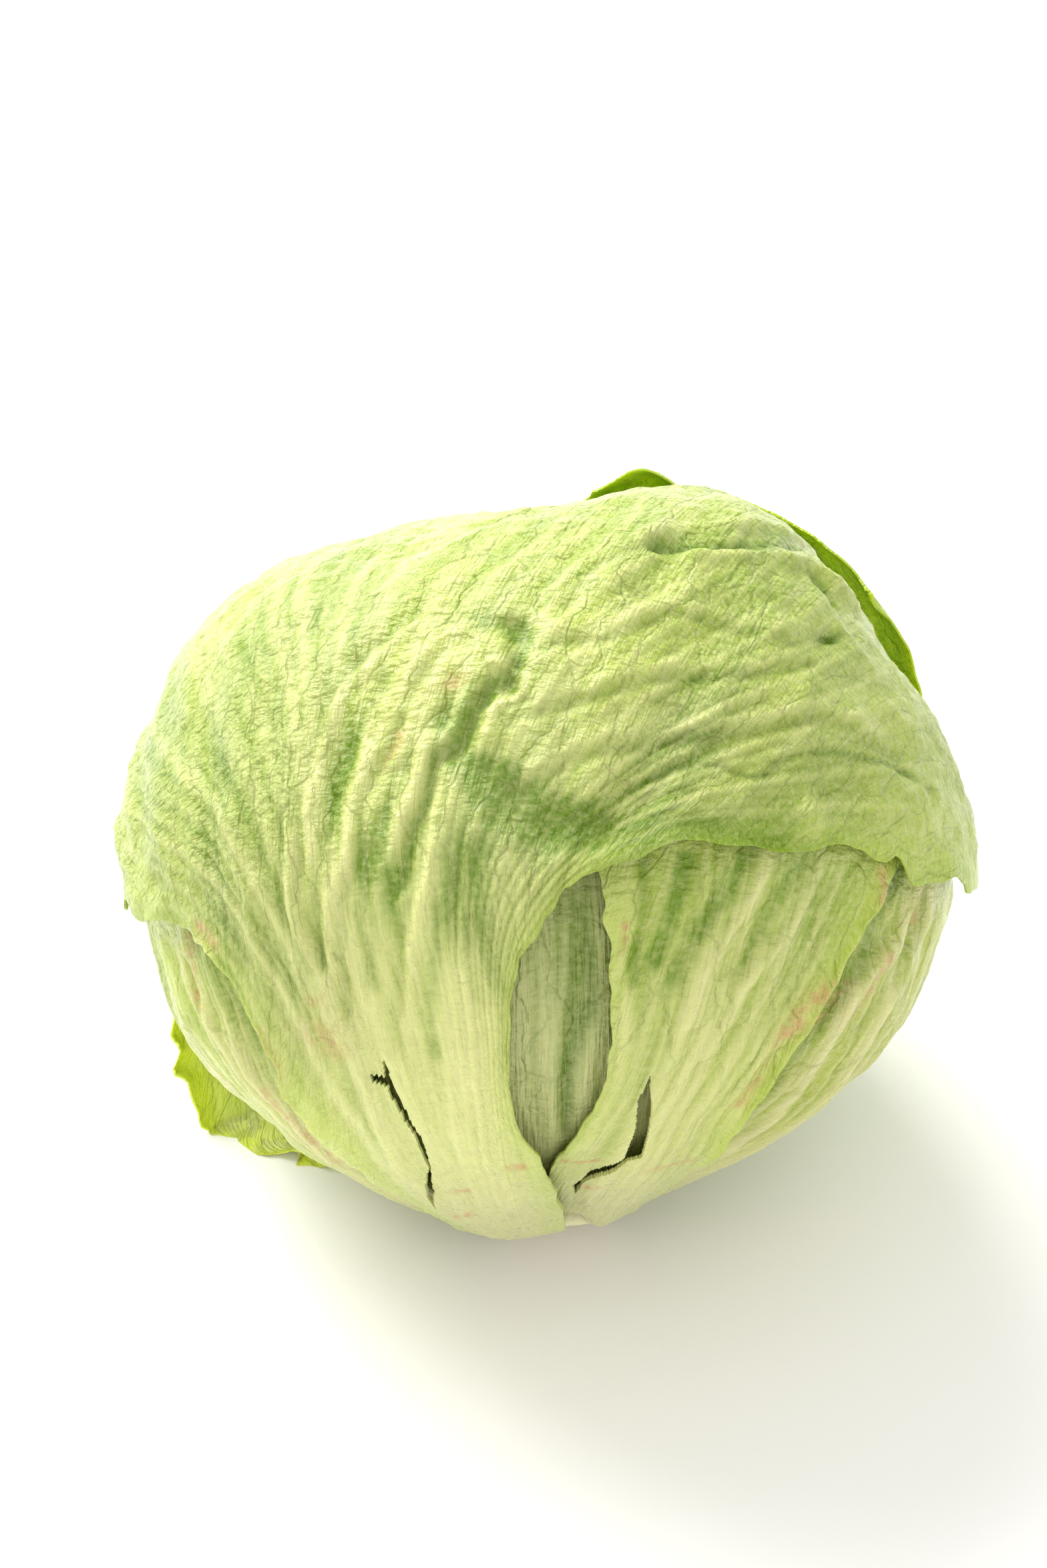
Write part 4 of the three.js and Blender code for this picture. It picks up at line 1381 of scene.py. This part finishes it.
    @staticmethod
    def front_wrapper_leaf(b: float) -> Leaf:
        """The great leaf that rises over the front, turns at the knot and sweeps to the right."""
        return Leaf("front_wrapper_leaf", Net((
            ((b, -64), (40, -45), (56, -42), (70, -43), (84, -53), (85, -78), (90, -110)),
            ((b, -53), (39, -35), (60, -31), (80, -35), (98, -48), (108, -80), (118, -130)),
            ((b, -40), (38, -25), (67, -21), (94, -27), (122, -37), (148, -65), (142, -163)),
            ((b, -29), (38, -18), (69, -14), (99, -15), (125, -9), (153, 28), (150, 163)),
            ((b, -20), (38, -12), (69, -10), (95, -9), (118, 7), (136, 52), (138, 124)),
            ((b, -12), (38, -8), (68, -8), (91, -5), (107, 13), (116, 52), (115, 102)),
            ((b, 8), (38, 0), (66, -7), (86, -3), (97, 10), (95, 45), (85, 80)),
        )), WRAPPER, Slot.OUTER, (206, 220), seed=9, ribs=30, rib_height=0.65, puckers=0.6, swell=1.05,
            hollows=0.85, sink=1.9,
            lifts=(Lift((1, 0.66), (0.12, 0.14), 2.2), Lift((1, 1), (0.14, 0.1), 2.5),
                   Lift((0, 0.42), (0.045, 0.22), 3.2)),
            tear=((70, -24.2), (61, -24), (53, -23.4), (45, -26), (36, -31.5), (28, -40),
                  (33, -36.4), (44, -27.2), (54, -24.6), (61, -25.3), (64.3, -25.4), (64.6, -28), (65.8, -28),
                  (66, -25.2)),
            # Dents with painted shade; bumps (negative depth) with painted light.
            dents=(Dent((127, -6), (2.4, 3.4), 1.9, shade=1.0), Dent((122.5, -6), (1.8, 2.6), 1.4, shade=0.8),
                   Dent((119.5, -7), (2.2, 3.0), 1.8, shade=0.9), Dent((129, -12), (5.0, 3.0),
                                                                       1.2, shade=0.7),
                   Dent((115.5, -14), (3.5, 6.0), 1.4, shade=0.7), Dent((117, -10.5), (1.6, 2.4), 1.3),
                   Dent((113, -9), (3.0, 4.0), -1.2), Dent((98, 28.5), (5.0, 2.4), 1.5, shade=0.9),
                   Dent((101, 35), (2.6, 3.6), -1.6), Dent((99, 19), (6.0, 3.0), 1.2, shade=0.6),
                   Dent((133, 63), (1.6, 4.2), 1.9, shade=1.3), Dent((125.5, 54), (4.0, 1.3), 1.4, shade=0.9),
                   Dent((103, -6), (5.0, 9.0), 1.6, turn=-35.0, shade=1.0),
                   Dent((94, -13), (3.0, 12.0), 1.3, shade=0.9), Dent((92, -21), (2.6, 8.0), 1.0, shade=0.8),
                   Dent((106, -30), (3.2, 9.0), 1.0, shade=0.7), Dent((100, 2), (6.0, 4.0), 1.2, shade=0.9)),
            # Folds with paler crests, part painted highlight; grooves with painted shade.
            folds=(Fold(((117, -13), (112, -15), (110, -18), (104, -19), (101, -20), (96, -21)),
                        1.5, 1.6, 1.5,
                        -1.0, 0.7),
                   Fold(((98, -15), (93, -16), (86, -18), (74, -20)), 0.8, 1.3, 0.6, 1.0, 0.6),
                   Fold(((124, -20), (121, -22), (113, -24), (110, -25), (104, -27), (97, -27), (89, -29),
                         (78, -30)), 0.7, 1.2, 0.5, -1.0, 0.6),
                   Fold(((128, -24), (123, -28), (117, -32), (111, -33), (102, -33), (95, -32)),
                        0.6, 1.2, 0.5,
                        1.0, 0.6),
                   Fold(((84, -12), (71, -12), (55, -11), (42, -10), (30, -12)), 1.1, 2.6, 0.0, 1.0, 0.9),
                   Fold(((98, -35), (87, -34), (81, -32), (65, -29), (43, -34)), 0.7, 1.4, 0.4, 1.0, 0.6),
                   Fold(((127, -16), (130, -10), (130, -3), (125, 0), (122, -3)), 0.9, 1.5, 0.0, 1.0, 0.6),
                   Fold(((122.5, -10), (121, -5.5), (118, -5), (115, -10)), 0.9, 1.0, 0.0, 1.0, 0.6),
                   Fold(((107, -4), (111, 3), (113, 14), (114, 26), (115, 43), (110, 56)),
                        0.7, 1.5, 0.5, 1.0, 0.5),
                   Fold(((117, -2), (119, 5), (122, 17), (122, 30), (123, 42)), 0.5, 1.3, 0.5, 1.0, 0.4),
                   Fold(((127, 0), (128, 9), (132, 20), (130, 32), (127, 42)), 0.5, 1.4, 0.4, 1.0, 0.4),
                   Fold(((134, 0), (140, 6), (147, 29), (146, 56), (140, 86)), 0.7, 1.6, 0.5, 1.0, 0.4),
                   groove(((100, -1), (105, 9), (108, 20), (106, 28), (109, 36), (107, 52), (102, 63)),
                          0.5, 0.8, 0.5),
                   groove(((143, 24), (143, 36), (142, 50), (140, 70)), 1.7, 1.3, 1.2),
                   groove(((113, -16), (108, -12), (105, -7), (102, -2), (100, 4)), 0.6, 3.6, 0.9),
                   groove(((106, -9), (101, -3), (100, 5), (99, 12), (98, 20)), 0.5, 4.0, 0.8),
                   groove(((97, -10), (88, -9), (80, -8)), 0.5, 3.0, 0.8),
                   groove(((109, -20), (106, -21), (101, -22.5), (94, -24)), 0.6, 2.0, 1.0),
                   groove(((104, -30), (98, -30), (90, -31), (82, -31)), 0.4, 1.6, 0.7),
                   groove(((100, -24.5), (90, -24.5), (80, -24)), 0.4, 1.8, 0.7),
                   groove(((120, -26), (112, -28.5), (106, -30)), 0.4, 1.8, 0.6),
                   groove(((90, -15), (80, -16), (70, -17)), 0.3, 2.0, 0.6),
                   Fold(((141, 30), (140, 48), (137, 66), (130, 74)), 1.5, 1.6, 0.0, 1.0, 0.4),
                   Fold(((85, -54), (82, -50), (77, -48), (69, -43.5), (54, -41.5)),
                        0.8, 1.4, 0.0, 1.0, 0.8)),
            stains=(Stain(((72, -34), (71, -32)), 3.4, 0.75), Stain(((77, -32), (77, -34)), 1.2, 0.8),
                    Stain(((86, -52), (83, -49)), 1.4, 0.9), Stain(((72, -43), (66, -42)), 1.4, 0.6),
                    Stain(((112, -22), (108, -23)), 1.2, 0.7), Stain(((119, -16), (120, -14)), 1.6, 0.6),
                    Stain(((72, -4), (66, -5)), 1.6, 0.6), Stain(((47, -9), (46, -6)), 1.0),
                    Stain(((36, -27), (37, -21)), 0.8), Stain(((26, -36), (28, -28)), 0.9),
                    Stain(((44, 0), (42, 3)), 0.9), Stain(((88, 60), (90, 50)), 1.0, 0.5)),
            frill=Frill(ruffle=0.9, notch=1.1, bright=0.3, ragged=2.5))

    @staticmethod
    def back_leaf(b: float) -> Leaf:
        """The dark leaf at the back, whose tip and one frill show over the top."""
        return Leaf("back_leaf", Net((
            ((b, 128), (40, 118), (70, 109), (100, 102), (127, 100)),
            ((b, 142), (42, 132), (78, 123), (116, 118), (149, 118)),
            ((b, 157), (43, 148), (80, 142), (115, 138), (146, 132)),
            ((b, 172), (44, 166), (84, 162), (124, 156), (163, 146)),
            ((b, 187), (44, 184), (82, 184), (118, 184), (144, 180)),
            ((b, 201), (43, 203), (76, 206), (106, 208), (134, 208)),
            ((b, 216), (40, 222), (66, 226), (92, 226), (114, 224)),
        )), GREEN, Slot.GREEN, (170, 170), seed=10, ribs=13, rib_height=0.8, swell=1.0,
            lifts=(Lift((0.46, 1), (0.05, 0.1), 3.6), Lift((0.03, 0.95), (0.09, 0.1), 4.5)),
            frill=Frill(ruffle=0.6, notch=1.6, wave=9.0, bright=0.8))

    def build(self, frame: dict) -> None:
        """Make every piece and put it in its CAD node's place.
        """
        leaves = self.leaves()
        for leaf in leaves:
            self.form.wrap(leaf.net)
        for layer, leaf in enumerate(leaves):
            piece = leaf.build(self.form, layer)
            place_piece(piece, leaf.node)
        for piece in self.stem.build(self.form):
            place_piece(piece, "stem")
        heart = frame["nodes"]["heart"]
        heart.data.materials.clear()
        heart.data.materials.append(HeartFinish("packed heart").make())


def place_piece(piece: bpy.types.Object, node: str) -> None:
    """Let a piece stand for its CAD node, and say how big it is."""
    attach(piece, "root")
    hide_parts(node)
    log.info("%s: %d faces", piece.name, len(piece.data.polygons))


# ---- Studio ----

@dataclass
class Studio:
    """A white table, soft light all round, a strong soft light from behind, and the camera."""

    distance: float = 0.860
    elevation: float = 40.0
    lens: float = 100.0
    shift_left: float = 0.00596
    shift_up: float = 0.0139
    sky: float = 0.97
    key_power: float = 27.0
    fill_power: float = 2.5

    def build(self, form: HeadForm) -> None:
        """Set the whole studio up."""
        scene = bpy.context.scene
        scene.view_settings.view_transform = "Standard"
        self.table()
        self.lights()
        self.camera(form)

    def table(self) -> None:
        """A wide white table top."""
        half = 3.0
        corners = [(-half, -half, 0), (half, -half, 0), (half, half, 0), (-half, half, 0)]
        mesh = bpy.data.meshes.new("table_top")
        mesh.from_pydata(corners, [], [(0, 1, 2, 3)])
        p = Painter("white table")
        p.shader.inputs["Base Color"].default_value = (0.94, 0.925, 0.905, 1.0)
        p.shader.inputs["Roughness"].default_value = 0.6
        mesh.materials.append(p.material)
        top = bpy.data.objects.new("table_top", mesh)
        bpy.context.scene.collection.objects.link(top)

    def lights(self) -> None:
        """White surroundings, one big lamp behind and to the left, and a weaker one in front."""
        world = bpy.data.worlds.new("white room")
        world.use_nodes = True
        world.node_tree.nodes["Background"].inputs["Color"].default_value = (1.0, 1.0, 1.0, 1.0)
        world.node_tree.nodes["Background"].inputs["Strength"].default_value = self.sky
        bpy.context.scene.world = world
        self.lamp("window", (-0.55, 0.75, 0.9), (1.1, 0.9), self.key_power)
        self.lamp("front fill", (0.5, -1.3, 0.9), (1.4, 1.0), self.fill_power)

    @staticmethod
    def lamp(name: str, place: tuple[float, float, float], size: tuple[float, float], power: float) -> None:
        """Hang a soft lamp that shines on the head."""
        data = bpy.data.lights.new(name, "AREA")
        data.shape = "RECTANGLE"
        data.size, data.size_y = size
        data.energy = power
        stand = bpy.data.objects.new(name, data)
        stand.location = place
        stand.rotation_euler = (Vector((0, 0, 0.07)) - Vector(place)).to_track_quat("-Z", "Y").to_euler()
        bpy.context.scene.collection.objects.link(stand)

    def camera(self, form: HeadForm) -> None:
        """A long lens from the front, looking down."""
        angle = math.radians(self.elevation)
        back = Vector((0, -math.cos(angle), math.sin(angle)))
        up = Vector((0, math.sin(angle), math.cos(angle)))
        aim = Vector(form.centre) * MILLIMETRE + Vector((-self.shift_left, 0, 0)) + self.shift_up * up
        data = bpy.data.cameras.new("camera")
        data.lens = self.lens
        data.sensor_width = 36.0
        camera = bpy.data.objects.new("camera", data)
        camera.location = aim + self.distance * back
        camera.rotation_euler = (-back).to_track_quat("-Z", "Y").to_euler()
        bpy.context.scene.collection.objects.link(camera)
        bpy.context.scene.camera = camera


def main() -> None:
    """Build the head and the studio."""
    logging.basicConfig(level=logging.INFO)
    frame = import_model()
    lettuce = Lettuce()
    lettuce.build(frame)
    Studio().build(lettuce.form)


if __name__ == "__main__":
    main()
